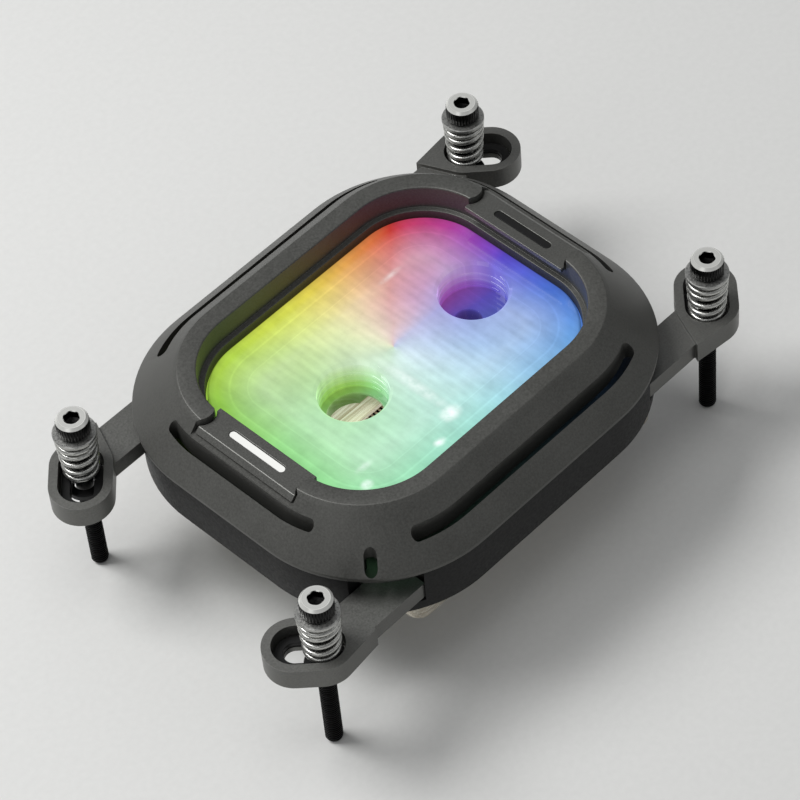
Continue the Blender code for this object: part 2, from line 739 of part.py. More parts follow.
def build_housing():
    """Dark skirt under the cover, with a floor ledge for the bracket and a notch for each arm."""
    levels = [
        (housing_outer, housing_bottom + PLATE_CHAMFER, SIDE_SPREAD),
        (housing_outer, housing_top, SIDE_SPREAD),
        (housing_inner, housing_top, SIDE_SPREAD),
        (housing_inner, housing_floor_top, SIDE_SPREAD),
        (floor_opening, housing_floor_top),
        (floor_opening, housing_bottom),
        (housing_outer - PLATE_CHAMFER, housing_bottom, SIDE_SPREAD),
    ]
    housing = lofted_ring("lower_housing", levels, block, black_plastic)
    spans = []
    for side_x, side_y in corners:
        inner = side_x * CORE_HALF_X
        outer = side_x * (CORE_HALF_X + foot_radius)
        near = side_y * (hole_y - ARM_WIDTH / 2 - GAP)
        far = side_y * (hole_y + ARM_WIDTH / 2 + GAP)
        spans.append(((inner, outer), (near, far), (housing_floor_top, housing_top + GAP)))
    combine(housing, boxes("arm_notches", spans))
    hole = BASE_SCREW_DIAMETER / 2 + BORE_GAP
    combine(housing, cylinders("housing_screw_holes", base_screw_spots, hole, housing_bottom - GAP,
                               housing_floor_top + GAP, SMALL_TURN_STEPS))
    hole = COVER_SCREW_DIAMETER / 2 + BORE_GAP
    combine(housing, cylinders("housing_cover_holes", cover_screw_spots, hole, housing_bottom - GAP,
                               housing_floor_top + GAP, SMALL_TURN_STEPS))
    sink = COVER_SCREW_HEAD / 2 + BORE_GAP
    combine(housing, cylinders("housing_head_recesses", cover_screw_spots, sink, housing_bottom - GAP,
                               housing_bottom + COVER_SCREW_HEAD_HEIGHT + GAP, SMALL_TURN_STEPS))


def build_bracket():
    """Flat ring clamped in the block, four arms and a slotted pad at the end of each."""
    bracket = lofted_ring("mounting_bracket", [
        (ring_outer, BRACKET_HEIGHT, SIDE_SPREAD),
        (ring_outer, bracket_top, SIDE_SPREAD),
        (opening_radius, bracket_top),
        (opening_radius, BRACKET_HEIGHT),
    ], block, bracket_grey)

    arms, pads, wide_slots, narrow_slots = [], [], [], []
    for side_x, side_y in corners:
        root = side_x * (CORE_HALF_X + seal_groove_outer)
        arms.append(((root, side_x * hole_x),
                     (side_y * (hole_y - ARM_WIDTH / 2), side_y * (hole_y + ARM_WIDTH / 2)),
                     (BRACKET_HEIGHT + RING_EXTRA, bracket_top - RING_EXTRA)))
        near = (side_x * hole_x, side_y * hole_y)
        far = (side_x * far_x, side_y * far_y)
        tail = (side_x * (hole_x - PAD_TAIL_X), side_y * (hole_y + PAD_TAIL_Y))
        pads.append(convex_outline(stadium(near, far, PAD_RADIUS, 10) + [tail]))
        wide_slots.append(stadium(near, far, SPRING_SLOT_WIDTH / 2))
        narrow_slots.append(stadium(near, far, SCREW_SLOT_WIDTH / 2))
    combine(bracket, boxes("arms", arms), "UNION")
    combine(bracket, flat_plate("pads", pads, pad_bottom, pad_top, cutters, None, PLATE_CHAMFER), "UNION")
    combine(bracket, flat_plate("spring_slots", wide_slots, slot_floor, pad_top + GAP, cutters))
    combine(bracket, flat_plate("screw_slots", narrow_slots, pad_bottom - GAP, slot_floor + GAP, cutters))
    for label, spots, diameter in (("base", base_screw_spots, BASE_SCREW_DIAMETER),
                                   ("cover", cover_screw_spots, COVER_SCREW_DIAMETER)):
        combine(bracket, cylinders("bracket_" + label + "_holes", spots, diameter / 2 + BORE_GAP,
                                   BRACKET_HEIGHT - GAP, bracket_top + GAP, SMALL_TURN_STEPS))


def build_slot_liner(number, side_x, side_y):
    """Black liner on the floor of a pad's slot; the spring stands on it and the screw slides in it."""
    near = (side_x * hole_x, side_y * hole_y)
    far = (side_x * far_x, side_y * far_y)
    outer = stadium(near, far, SPRING_SLOT_WIDTH / 2 - GAP)
    inner = stadium(near, far, SCREW_SLOT_WIDTH / 2)
    flat_plate("slot_liner_" + str(number), [outer, inner], liner_bottom, liner_top, block, black_nylon)


def add_socket(screw, across, depth, face, spot, up=True):
    """Cut a hexagonal socket into a screw's head."""
    radius = across / math.sqrt(3)
    low, high = (face - depth, face + GAP) if up else (face - GAP, face + depth)
    combine(screw, cylinders(screw.name + "_socket", [spot], radius, low, high, 6))


def build_base_screw(name, spot):
    """Countersunk screw from below, through flange and housing into the bracket."""
    shank = BASE_SCREW_DIAMETER / 2
    head = BASE_SCREW_HEAD / 2
    top = BRACKET_HEIGHT + BASE_SCREW_BITE
    face = base_screw_face
    screw = turned(name, [
        (0, top),
        (shank - SCREW_TIP_CHAMFER, top),
        (shank, top - SCREW_TIP_CHAMFER),
        (shank, face + head - shank),
        (head, face + GAP),
        (head, face),
        (0, face),
    ], block, dark_steel, SMALL_TURN_STEPS, spot)
    add_socket(screw, DRIVE_ACROSS, DRIVE_DEPTH, face, spot, up=False)


def build_cover_screw(name, spot):
    """Cheese-head screw from below, through housing and bracket into the cover's boss."""
    shank = COVER_SCREW_DIAMETER / 2
    head = COVER_SCREW_HEAD / 2
    top = bracket_top + GAP + COVER_SCREW_BITE
    face = housing_bottom
    seat = face + COVER_SCREW_HEAD_HEIGHT
    screw = turned(name, [
        (0, top),
        (shank - SCREW_TIP_CHAMFER, top),
        (shank, top - SCREW_TIP_CHAMFER),
        (shank, seat),
        (head, seat),
        (head, face),
        (0, face),
    ], block, dark_steel, SMALL_TURN_STEPS, spot)
    add_socket(screw, DRIVE_ACROSS, DRIVE_DEPTH, face, spot, up=False)


def spring_points(spot, bottom, top):
    """Slightly conical helix with one closed turn at each end and open turns between."""
    foot_reach = (SPRING_FOOT_DIAMETER - SPRING_WIRE) / 2
    top_reach = (SPRING_TOP_DIAMETER - SPRING_WIRE) / 2
    closed_rise = SPRING_WIRE * 1.05
    active_rise = (top - bottom - 2 * closed_rise) / SPRING_ACTIVE_TURNS
    turns = SPRING_ACTIVE_TURNS + 2
    count = int(turns * SPRING_STEPS_PER_TURN)
    points = []
    for i in range(count + 1):
        turn = turns * i / count
        if turn < 1:
            z = bottom + closed_rise * turn
        elif turn > turns - 1:
            z = top - closed_rise * (turns - turn)
        else:
            z = bottom + closed_rise + active_rise * (turn - 1)
        angle = 2 * math.pi * turn
        reach = foot_reach + (top_reach - foot_reach) * (z - bottom) / (top - bottom)
        points.append((spot[0] + reach * math.cos(angle), spot[1] + reach * math.sin(angle), z))
    return points


def build_mounting_set(number, spot):
    """Screw with its washer, spring and retaining clip at one corner."""
    label = str(number)
    shank = SCREW_SHANK_DIAMETER / 2
    head = SCREW_HEAD_DIAMETER / 2
    head_bottom = SCREW_LENGTH - SCREW_HEAD_HEIGHT
    screw = turned("mounting_screw_" + label, [
        (0, SCREW_LENGTH),
        (head - SCREW_HEAD_CHAMFER, SCREW_LENGTH),
        (head, SCREW_LENGTH - SCREW_HEAD_CHAMFER),
        (head, head_bottom),
        (shank, head_bottom),
        (shank, SCREW_TIP_CHAMFER),
        (shank - SCREW_TIP_CHAMFER, 0),
        (0, 0),
    ], block, dark_steel, TURN_STEPS, spot)
    add_socket(screw, SCREW_SOCKET_ACROSS, SCREW_SOCKET_DEPTH, SCREW_LENGTH, spot)

    hole = shank + BORE_GAP
    washer_top = head_bottom - GAP
    washer_bottom = washer_top - WASHER_THICKNESS
    turned("spring_washer_" + label,
           washer_profile(hole, WASHER_DIAMETER / 2, washer_bottom, washer_top, PLATE_CHAMFER),
           block, steel, TURN_STEPS, spot)
    clip_top = pad_bottom - GAP
    turned("retaining_clip_" + label,
           washer_profile(hole, CLIP_DIAMETER / 2, clip_top - CLIP_THICKNESS, clip_top, PLATE_CHAMFER),
           block, black_nylon, TURN_STEPS, spot)

    low = liner_top + GAP + SPRING_WIRE / 2
    high = washer_bottom - GAP - SPRING_WIRE / 2
    curve = bpy.data.curves.new("screw_spring_" + label, "CURVE")
    curve.dimensions = "3D"
    curve.bevel_depth = SPRING_WIRE / 2
    curve.bevel_resolution = 2
    curve.use_fill_caps = True
    points = spring_points(spot, low, high)
    spline = curve.splines.new("POLY")
    spline.points.add(len(points) - 1)
    for target, point in zip(spline.points, points):
        target.co = (*point, 1)
    curve.materials.append(spring_steel)
    block.objects.link(bpy.data.objects.new("screw_spring_" + label, curve))


build_cover()
build_end_plate("end_plate_front", -1)
build_end_plate("end_plate_back", 1)
build_light_ring()
build_acrylic()
build_seal()
build_jet_plate()
build_cold_plate()
build_housing()
build_bracket()
for number, spot in enumerate(base_screw_spots, 1):
    build_base_screw("base_screw_" + str(number), spot)
for number, spot in enumerate(cover_screw_spots, 1):
    build_cover_screw("cover_screw_" + str(number), spot)
for number, (side_x, side_y) in enumerate(corners, 1):
    build_slot_liner(number, side_x, side_y)
    build_mounting_set(number, (side_x * hole_x, side_y * hole_y))
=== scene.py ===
import math
from functools import partial

import bmesh
import bpy
from mathutils import Matrix, Vector
from mathutils.geometry import convex_hull_2d


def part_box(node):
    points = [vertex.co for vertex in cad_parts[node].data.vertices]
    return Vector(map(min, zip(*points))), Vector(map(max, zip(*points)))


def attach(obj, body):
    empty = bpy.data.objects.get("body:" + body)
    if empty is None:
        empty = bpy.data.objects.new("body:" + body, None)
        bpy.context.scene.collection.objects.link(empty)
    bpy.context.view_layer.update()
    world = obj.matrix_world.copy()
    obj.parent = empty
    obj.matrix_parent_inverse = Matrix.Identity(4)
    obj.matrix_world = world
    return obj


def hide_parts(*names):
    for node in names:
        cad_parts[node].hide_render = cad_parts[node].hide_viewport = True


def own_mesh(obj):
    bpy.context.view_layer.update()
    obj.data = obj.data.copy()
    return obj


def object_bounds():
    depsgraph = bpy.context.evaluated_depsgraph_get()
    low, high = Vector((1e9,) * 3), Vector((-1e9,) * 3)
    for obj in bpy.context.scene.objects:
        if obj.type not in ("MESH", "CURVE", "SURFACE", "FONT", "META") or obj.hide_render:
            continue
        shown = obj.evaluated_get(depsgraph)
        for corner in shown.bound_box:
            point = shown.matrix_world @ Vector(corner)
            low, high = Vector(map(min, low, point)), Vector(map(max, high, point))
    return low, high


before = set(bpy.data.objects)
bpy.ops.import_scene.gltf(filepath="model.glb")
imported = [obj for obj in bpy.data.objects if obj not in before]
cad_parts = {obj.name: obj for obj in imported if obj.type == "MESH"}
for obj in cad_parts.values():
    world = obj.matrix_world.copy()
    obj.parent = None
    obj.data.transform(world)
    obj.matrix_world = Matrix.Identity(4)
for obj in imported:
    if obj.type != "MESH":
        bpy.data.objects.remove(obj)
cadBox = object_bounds()
print("frame loaded")

mm = 0.001
gap = 0.3 * mm  # between pieces that rest on each other
clear = 1.0 * mm  # how far a cutter stands out of what it cuts
beyond = 42.0 * mm  # past both ends of the cover and the housing
corners = [(1, 1), (-1, 1), (-1, -1), (1, -1)]  # the order in which the screws are numbered

# every outline of the block is this half rectangle, grown by a radius that rounds its corners
coreX = 16.0 * mm
coreY = 9.4 * mm
spreadY = 1.25 * mm  # the cover's foot and the housing are this much wider to each long side


def levelsOf(node):
    low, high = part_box(node)
    return low.z, high.z


def middleOf(node):
    low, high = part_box(node)
    return (low.x + high.x) / 2, (low.y + high.y) / 2


def numbered(name, count):
    return [name + str(number) for number in range(1, count + 1)]


acrylicLow, acrylicTop = levelsOf("acrylic_top")
housingLow, housingTop = levelsOf("lower_housing")
padLow, padTop = levelsOf("mounting_bracket")
plateLow, plateTop = levelsOf("end_plate_front")
linerLow, linerTop = levelsOf("slot_liner_1")
rimTop = levelsOf("cover")[1]
coverFoot = housingTop + gap
screwSpots = [middleOf(node) for node in numbered("mounting_screw_", 4)]  # also each slot's inner end
slotRun = (3.0 * mm, -3.0 * mm)  # from there each slot runs on outwards in X and inwards in Y


# Colours and nodes

def srgb(code):
    parts = [int(code[i:i + 2], 16) / 255 for i in (1, 3, 5)]
    return tuple(c / 12.92 if c <= 0.04045 else ((c + 0.055) / 1.055) ** 2.4 for c in parts) + (1.0,)


def addNode(tree, kind, inputs=(), out=0, stops=(), to=(), **settings):
    # inputs go by name or by place: a socket is linked, anything else is set as the value
    # (the places of a Map Range are its value, then from low, from high, to low and to high)
    node = tree.nodes.new(kind)
    for name, value in settings.items():
        setattr(node, name, value)
    for name, value in inputs.items() if isinstance(inputs, dict) else enumerate(inputs):
        if isinstance(value, bpy.types.NodeSocket):
            tree.links.new(value, node.inputs[name])
        else:
            node.inputs[name].default_value = value
    if stops:
        marks = node.color_ramp.elements
        while len(marks) < len(stops):
            marks.new(0.5)
        for mark, (position, colour) in zip(marks, stops):
            mark.position = position
            mark.color = srgb(colour) if isinstance(colour, str) else (colour, colour, colour, 1.0)
    for socket in to:
        tree.links.new(node.outputs[out], socket)
    return node.outputs[out]


def newMaterial(name, slot, values):
    material = bpy.data.materials.new(name)
    material.use_nodes = True
    material["slot"] = slot  # the record's finish that it stands for
    tree = material.node_tree
    shader = tree.nodes["Principled BSDF"].inputs
    for key, value in values.items():
        shader[key].default_value = value
    add = partial(addNode, tree)
    return material, add, shader, add("ShaderNodeTexCoord", out="Object")


def dress(add, shader, look, share, texture):
    # share picks between dark and light; shine and relief follow the texture
    coloured = [shader["Base Color"]]
    if "glow" in look:
        coloured.append(shader["Emission Color"])
        shader["Emission Strength"].default_value = look["glow"]
    add("ShaderNodeMix", {0: share, 6: srgb(look["dark"]), 7: srgb(look["light"])}, 2, to=coloured,
        data_type="RGBA")
    add("ShaderNodeMapRange", [texture, 0.3, 0.7, *look["roughness"]], to=[shader["Roughness"]])
    add("ShaderNodeBump", {"Strength": look["relief"], "Distance": look["bumpMm"] * mm, "Height": texture},
        to=[shader["Normal"]])


def flattened(add, where):
    return add("ShaderNodeVectorMath", [where, (1.0, 1.0, 0.0)], operation="MULTIPLY")


def foldedAway(add, where, x, y):
    # from (x, y), or from its mirror image in each of the other three quarters, seen from above
    folded = add("ShaderNodeVectorMath", [flattened(add, where)], operation="ABSOLUTE")
    return add("ShaderNodeVectorMath", [folded, (x, y, 0.0)], operation="SUBTRACT")


# Materials

# dull dark grey with a fine sandy grain, which takes no clear reflection
blastedLook = {"light": "#5A5A57", "dark": "#494946", "grainMm": 0.34, "cloudMm": 11.0, "cloudShare": 0.55,
               "roughness": (0.40, 0.52), "metallic": 0.5, "relief": 0.5, "bumpMm": 0.012}
# milled before it was blasted: a touch lighter and smoother than the cover round it
plateLook = {**blastedLook, "light": "#62625F", "dark": "#51514E", "roughness": (0.32, 0.42),
             "grainMm": 0.26}
# pressed from sheet: lighter again, with a slight shine on its edges
bracketLook = {**blastedLook, "light": "#6E6E6B", "dark": "#5D5D5A", "roughness": (0.34, 0.48),
               "metallic": 0.6}


def anodisedAluminium(name, slot, look):
    # blasted, then anodised: an even sheen with grain and faint clouds in the dye
    material, add, shader, where = newMaterial(name, slot, {"Metallic": look["metallic"]})
    clouds = add("ShaderNodeTexNoise", {"Vector": where, "Scale": 1 / (look["cloudMm"] * mm),
                                        "Detail": 4.0})
    grain = add("ShaderNodeTexNoise", {"Vector": where, "Scale": 1 / (look["grainMm"] * mm), "Detail": 2.0,
                                       "Roughness": 0.6})
    mixed = add("ShaderNodeMath", [clouds, look["cloudShare"], grain], operation="MULTIPLY_ADD")
    share = add("ShaderNodeMapRange", [mixed, 0.52, 1.02])
    dress(add, shader, look, share, grain)
    return material


# near black and flat, with tiny pits that break up its highlights
housingLook = {"light": "#151515", "dark": "#0D0D0D", "textureMm": 0.55, "flowMm": 14.0,
               "roughness": (0.42, 0.6), "gloss": 0.22, "relief": 0.5, "bumpMm": 0.02}
# smoother black, with a soft shine on its rims
nylonLook = {**housingLook, "light": "#202020", "dark": "#141414", "roughness": (0.36, 0.5),
             "bumpMm": 0.012}
# black that takes hardly any highlight
rubberLook = {**housingLook, "light": "#151515", "dark": "#0C0C0C", "roughness": (0.6, 0.75),
              "bumpMm": 0.008}
# very dark green, smooth and lightly glossy
boardLook = {**housingLook, "light": "#141C16", "dark": "#0B110D", "textureMm": 1.2,
             "roughness": (0.34, 0.44)}
# clean flat white, and the same paint in black
whitePaintLook = {**housingLook, "light": "#F0F0EC", "dark": "#E2E2DE", "roughness": (0.4, 0.5),
                  "bumpMm": 0.01}
blackPaintLook = {**whitePaintLook, "light": "#1A1A1A", "dark": "#101010"}


def mouldedPlastic(name, slot, look):
    # moulded or filled in wet: matte, tiny pits, a slightly uneven skin
    material, add, shader, where = newMaterial(name, slot, {"Specular IOR Level": look["gloss"]})
    pits = add("ShaderNodeTexNoise", {"Vector": where, "Scale": 1 / (look["textureMm"] * mm), "Detail": 3.0,
                                      "Roughness": 0.7})
    flow = add("ShaderNodeTexNoise", {"Vector": where, "Scale": 1 / (look["flowMm"] * mm), "Detail": 2.0})
    dress(add, shader, look, flow, pits)
    return material


# dark steel with a thin oily shine
oxideLook = {"light": "#202020", "dark": "#101010", "lineMm": 0.35, "stretch": (1.0, 1.0, 5.0),
             "roughness": (0.28, 0.42), "metallic": 1.0, "relief": 0.4, "bumpMm": 0.006}
# bare face with rings, near white as a painted highlight on the top and its chamfer; real marks are 0.1 mm
# apart, drawn about 0.3 mm apart so that they show
turnedHighlightLook = {**oxideLook, "light": "#E2E2DE", "dark": "#CECECA", "lineMm": 0.5, "stretch": (1.0, 1.0, 1.0),
              "roughness": (0.22, 0.3), "bumpMm": 0.002, "metallic": 0.45, "ringsAbout": screwSpots[0]}
# small sharp glints along every turn
wireLook = {**oxideLook, "light": "#D0D0CC", "dark": "#A4A4A0", "lineMm": 0.4, "roughness": (0.2, 0.34),
            "metallic": 0.9}
# softly bright, less so than the wire
washerLook = {**oxideLook, "light": "#BEBEBA", "dark": "#9C9C9A", "lineMm": 0.4,
              "roughness": (0.24, 0.38), "bumpMm": 0.003, "metallic": 0.85}
# pale warm metal with long straight grinding lines
nickelLook = {**oxideLook, "light": "#CBC6BA", "dark": "#AFA798", "lineMm": 0.5,
              "stretch": (0.025, 1.0, 1.0), "roughness": (0.16, 0.34), "bumpMm": 0.005}
# pale and warm, and lit through the acrylic round it, so it glows a little
jetLook = {**nickelLook, "light": "#F0E8DA", "dark": "#B4A48C", "roughness": (0.2, 0.34),
           "metallic": 0.25, "glow": 0.42}


def workedMetal(name, slot, look):
    # drawn, turned, stamped or ground: fine lines along the stretch and a slightly uneven polish
    material, add, shader, where = newMaterial(name, slot, {"Metallic": look["metallic"]})
    if "ringsAbout" in look:
        away = foldedAway(add, where, *look["ringsAbout"])
        where = add("ShaderNodeVectorMath", [away], "Value", operation="LENGTH")
    drawn = add("ShaderNodeMapping", {"Vector": where, "Scale": look["stretch"]})
    lines = add("ShaderNodeTexNoise", {"Vector": drawn, "Scale": 1 / (look["lineMm"] * mm), "Detail": 3.0,
                                       "Roughness": 0.65})
    share = add("ShaderNodeMapRange", [lines, 0.35, 0.65])
    dress(add, shader, look, share, lines)
    return material


# sixteen lamps round the block, from the end at -X past the sides at -Y, +X and +Y and back
lampRing = ["#8CD47C", "#8ED890", "#94DAAC", "#9ADAC4", "#9EDAD6", "#96C8E2", "#669CD8", "#4C70CE",
            "#5E4CC8", "#AA3C96", "#C63C34", "#DEA452", "#E0CE54", "#D2DC54", "#B2D44E", "#8AC248"]
lampStops = [(place / 16, lampRing[place % 16]) for place in range(17)]

acrylicLook = {
    "pivot": (1.0, 1.5),  # mm, where the colours meet
    "milk": "#E2E8E8",
    "milkShare": (0.66, 0.34),  # how milky it is at the pivot, and milkReachMm away from it
    "milkReachMm": 15.0,
    "edgeBand": (3.0, 10.4),  # mm beyond the core rectangle, from milky to full colour
    "portBand": (0.4, 5.0),  # mm below the top, from milky to the share of full colour on the ports' walls
    "portShare": 0.9,
    "stirMm": 3.6,  # how far the rays wander
    "stirPatchMm": 9.0,
    "finPitchMm": 1.6,  # the fins below are 0.8 mm apart, drawn coarser so that they show
    "finBand": (5.0, 5.8),  # mm beyond the core rectangle, where the fins end
    "streakMm": 1.7,
    "streakStretch": 0.14,
    "blotMm": 4.2,
    "light": {"all": 0.59, "fins": 0.06, "streaks": 0.34, "blots": 0.56},
    # light left on the way out to the edge, with the chamber's wall and the shoulder as thin lines; the
    # drop at the very edge is painted shade under the rim
    "outwards": [(0.00, 0.90), (0.450, 0.90), (0.463, 0.97), (0.480, 0.88), (0.680, 0.88), (0.705, 1.00),
                 (0.730, 0.90), (0.90, 0.88), (0.965, 0.74), (1.00, 0.36)],
    # light left on the way up, which paints shade deep in the ports
    "upwards": [(0.0, 0.22), (0.42, 0.26), (0.50, 0.36), (0.54, 0.58), (0.57, 0.82), (0.80, 0.96),
                (0.97, 1.0)],
    # painted highlights, one of them a long painted reflection along the fins: middle in mm, half width and
    # half length in mm, strength
    "glints": [(-2.8, -14.8, 2.7, 2.1, 1.0), (-8.2, -17.6, 1.6, 1.1, 1.0), (-21.8, -14.9, 1.5, 1.3, 1.0),
               (-2.3, -6.5, 1.6, 11.0, 0.55), (-19.5, -12.0, 2.5, 1.0, 0.4), (12.0, 12.5, 3.2, 0.9, 0.35)],
    "glint": "#F4FFFC",
    "sparkMm": 1.5,
    "rippleMm": 6.0,
    "glow": 1.0,
}


def lampColour(add, look, flat, height, reach):
    # which lamp a point faces from the pivot, stirred a little so that the rays aren't ruled
    stir = add("ShaderNodeTexNoise", {"Vector": flat, "Scale": 1 / (look["stirPatchMm"] * mm),
                                      "Detail": 4.0}, "Color")
    bent = add("ShaderNodeVectorMath", [stir, (look["stirMm"] * mm,) * 3, flat], operation="MULTIPLY_ADD")
    pivot = [-(value + look["stirMm"] / 2) * mm for value in look["pivot"]]
    centred = add("ShaderNodeMapping", {"Vector": bent, "Location": (*pivot, 0.0)})
    centred = flattened(add, centred)
    turn = add("ShaderNodeTexGradient", {"Vector": centred}, "Fac", gradient_type="RADIAL")
    full = add("ShaderNodeValToRGB", [turn], stops=lampStops)

    # milky inside, full colour near the edge and on the walls of the ports
    away = add("ShaderNodeVectorMath", [centred], "Value", operation="LENGTH")
    milky = add("ShaderNodeMapRange", [away, 0.0, look["milkReachMm"] * mm, *look["milkShare"]],
                interpolation_type="SMOOTHSTEP")
    first, last = look["edgeBand"]
    atEdge = add("ShaderNodeMapRange", [reach, first * mm, last * mm])
    deepest, highest = [acrylicTop - depth * mm for depth in look["portBand"][::-1]]
    inPort = add("ShaderNodeMapRange", [height, deepest, highest, look["portShare"], 0.0])
    coloured = add("ShaderNodeMath", [atEdge, inPort], operation="MAXIMUM")
    plain = add("ShaderNodeMath", [1.0, coloured], operation="SUBTRACT")
    milky = add("ShaderNodeMath", [milky, plain], operation="MULTIPLY")
    return add("ShaderNodeMix", {0: milky, 6: full, 7: srgb(look["milk"])}, 2, data_type="RGBA")


def lightAndDark(add, look, flat, height, reach):
    # lines of the fins, streaks along them and soft blots, then painted shade: the fall to the edge under
    # the rim and down the ports' walls to the foot
    first, last = look["finBand"]
    overFins = add("ShaderNodeMapRange", [reach, first * mm, last * mm, 1.0, 0.25])
    fins = add("ShaderNodeTexWave", {"Vector": flat, "Scale": math.pi / (10 * look["finPitchMm"] * mm),
                                     "Distortion": 1.4, "Detail": 2.0, "Detail Scale": 0.6}, 1)
    fins = add("ShaderNodeMath", [fins, overFins], operation="MULTIPLY")
    along = add("ShaderNodeMapping", {"Vector": flat, "Scale": (1.0, look["streakStretch"], 1.0)})
    streaks = add("ShaderNodeTexNoise", {"Vector": along, "Scale": 1 / (look["streakMm"] * mm),
                                         "Detail": 4.0, "Roughness": 0.6})
    blots = add("ShaderNodeTexNoise", {"Vector": flat, "Scale": 1 / (look["blotMm"] * mm), "Detail": 5.0,
                                       "Roughness": 0.6})
    light = look["light"]
    gain = light["all"]
    for pattern, share in ((fins, light["fins"]), (streaks, light["streaks"]), (blots, light["blots"])):
        gain = add("ShaderNodeMath", [pattern, share, gain], operation="MULTIPLY_ADD")
    outwards = add("ShaderNodeMath", [reach, 1 / acrylicSizes["radius"]], operation="MULTIPLY")
    upwards = add("ShaderNodeMapRange", [height, acrylicLow, acrylicTop])
    for way, stops in ((outwards, look["outwards"]), (upwards, look["upwards"])):
        left = add("ShaderNodeValToRGB", [way], stops=stops)
        gain = add("ShaderNodeMath", [gain, left], operation="MULTIPLY")
    return gain


def glintShare(add, look, flat):
    # painted highlights: white specks in a few soft spots where the light leaves the block, one of them a
    # long painted reflection along the fins
    sparks = add("ShaderNodeTexNoise", {"Vector": flat, "Scale": 1 / (look["sparkMm"] * mm), "Detail": 3.0})
    sparks = add("ShaderNodeMapRange", [sparks, 0.36, 0.58, 0.45])
    share = 0.0
    for x, y, halfX, halfY, strength in look["glints"]:
        spot = add("ShaderNodeMapping", {"Vector": flat, "Location": (x * mm, y * mm, 0.0),
                                         "Scale": (halfX * mm, halfY * mm, 1.0)}, vector_type="TEXTURE")
        away = add("ShaderNodeVectorMath", [spot], "Value", operation="LENGTH")
        near = add("ShaderNodeMapRange", [away, 0.0, 1.0, strength, 0.0], interpolation_type="SMOOTHSTEP")
        share = add("ShaderNodeMath", [near, share], operation="MAXIMUM")
    return add("ShaderNodeMath", [share, sparks], operation="MULTIPLY")


def litAcrylic(look):
    # cast and polished acrylic lit from its edges: full colour near the lamps, pale and milky inside,
    # with faint lines of the fins, the chamber's wall and the rays that cross in it
    material, add, shader, where = newMaterial("castAcrylicLit", "clear_acrylic", {
        "Roughness": 0.06, "IOR": 1.49, "Emission Strength": look["glow"]})
    flat = flattened(add, where)
    height = add("ShaderNodeSeparateXYZ", [where], 2)
    # how far beyond the core rectangle, so that bands follow the rounded edge
    away = foldedAway(add, where, coreX, coreY)
    away = add("ShaderNodeVectorMath", [away, (0.0, 0.0, 0.0)], operation="MAXIMUM")
    reach = add("ShaderNodeVectorMath", [away], "Value", operation="LENGTH")

    colour = lampColour(add, look, flat, height, reach)
    gain = lightAndDark(add, look, flat, height, reach)
    glints = glintShare(add, look, flat)
    lit = add("ShaderNodeVectorMath", [colour, gain], operation="MULTIPLY")
    lit = add("ShaderNodeMix", {0: glints, 6: lit, 7: srgb(look["glint"])}, 2,
              to=[shader["Emission Color"]], data_type="RGBA")
    add("ShaderNodeMix", {0: 0.12, 6: srgb("#060606"), 7: lit}, 2, to=[shader["Base Color"]],
        data_type="RGBA")
    ripple = add("ShaderNodeTexNoise", {"Vector": where, "Scale": 1 / (look["rippleMm"] * mm),
                                        "Detail": 2.0})
    add("ShaderNodeBump", {"Strength": 0.2, "Distance": 0.02 * mm, "Height": ripple}, to=[shader["Normal"]])
    return material


opalLook = {"roughness": 0.35, "glow": 0.6}


def opalAcrylic(look):
    # milky acrylic: spreads the lamps below it into one soft ring of colours
    material, add, shader, where = newMaterial("opalAcrylic", "opal_guide", {
        "Roughness": look["roughness"], "Emission Strength": look["glow"]})
    turn = add("ShaderNodeTexGradient", {"Vector": flattened(add, where)}, "Fac", gradient_type="RADIAL")
    add("ShaderNodeValToRGB", [turn], stops=lampStops, to=[shader["Base Color"], shader["Emission Color"]])
    return material


# Outlines, as lists of points in the XY plane

def roundedBox(halfX, halfY, radius, steps=8):
    points = []
    for quarter, (sx, sy) in enumerate(corners):
        for step in range(steps + 1):
            angle = math.radians(90 * (quarter + step / steps))
            points.append((sx * (halfX - radius) + radius * math.cos(angle),
                           sy * (halfY - radius) + radius * math.sin(angle)))
    return points


def blockOutline(radius, extraY=0.0):
    return roundedBox(coreX + radius, coreY + extraY + radius, radius, 24)


def ribbon(path, width, steps=12):
    # a band along a path, with round ends
    half = width / 2
    headings = []
    for i in range(len(path)):
        (ax, ay), (bx, by) = path[max(i - 1, 0)], path[min(i + 1, len(path) - 1)]
        headings.append(math.atan2(by - ay, bx - ax))
    left = [(x - half * math.sin(h), y + half * math.cos(h)) for (x, y), h in zip(path, headings)]
    right = [(x + half * math.sin(h), y - half * math.cos(h)) for (x, y), h in zip(path, headings)]
    caps = []
    for (x, y), start in ((path[-1], headings[-1] - math.pi / 2), (path[0], headings[0] + math.pi / 2)):
        turns = [start + math.pi * step / steps for step in range(1, steps)]
        caps.append([(x + half * math.cos(turn), y + half * math.sin(turn)) for turn in turns])
    return right + caps[0] + left[::-1] + caps[1]


def padSlot(index, width):
    # the slot at one corner, from the screw's middle to the far hole
    x, y = screwSpots[index]
    sx, sy = corners[index]
    return ribbon([(x, y), (x + sx * slotRun[0], y + sy * slotRun[1])], width, 24)


# Meshes

def newObject(name, data):
    item = bpy.data.objects.new(name, data)
    bpy.context.scene.collection.objects.link(item)
    return item


def closedObject(name, bm):
    bmesh.ops.remove_doubles(bm, verts=bm.verts, dist=0.0005 * mm)
    bmesh.ops.recalc_face_normals(bm, faces=bm.faces)
    mesh = bpy.data.meshes.new(name)
    bm.to_mesh(mesh)
    bm.free()
    return newObject(name, mesh)


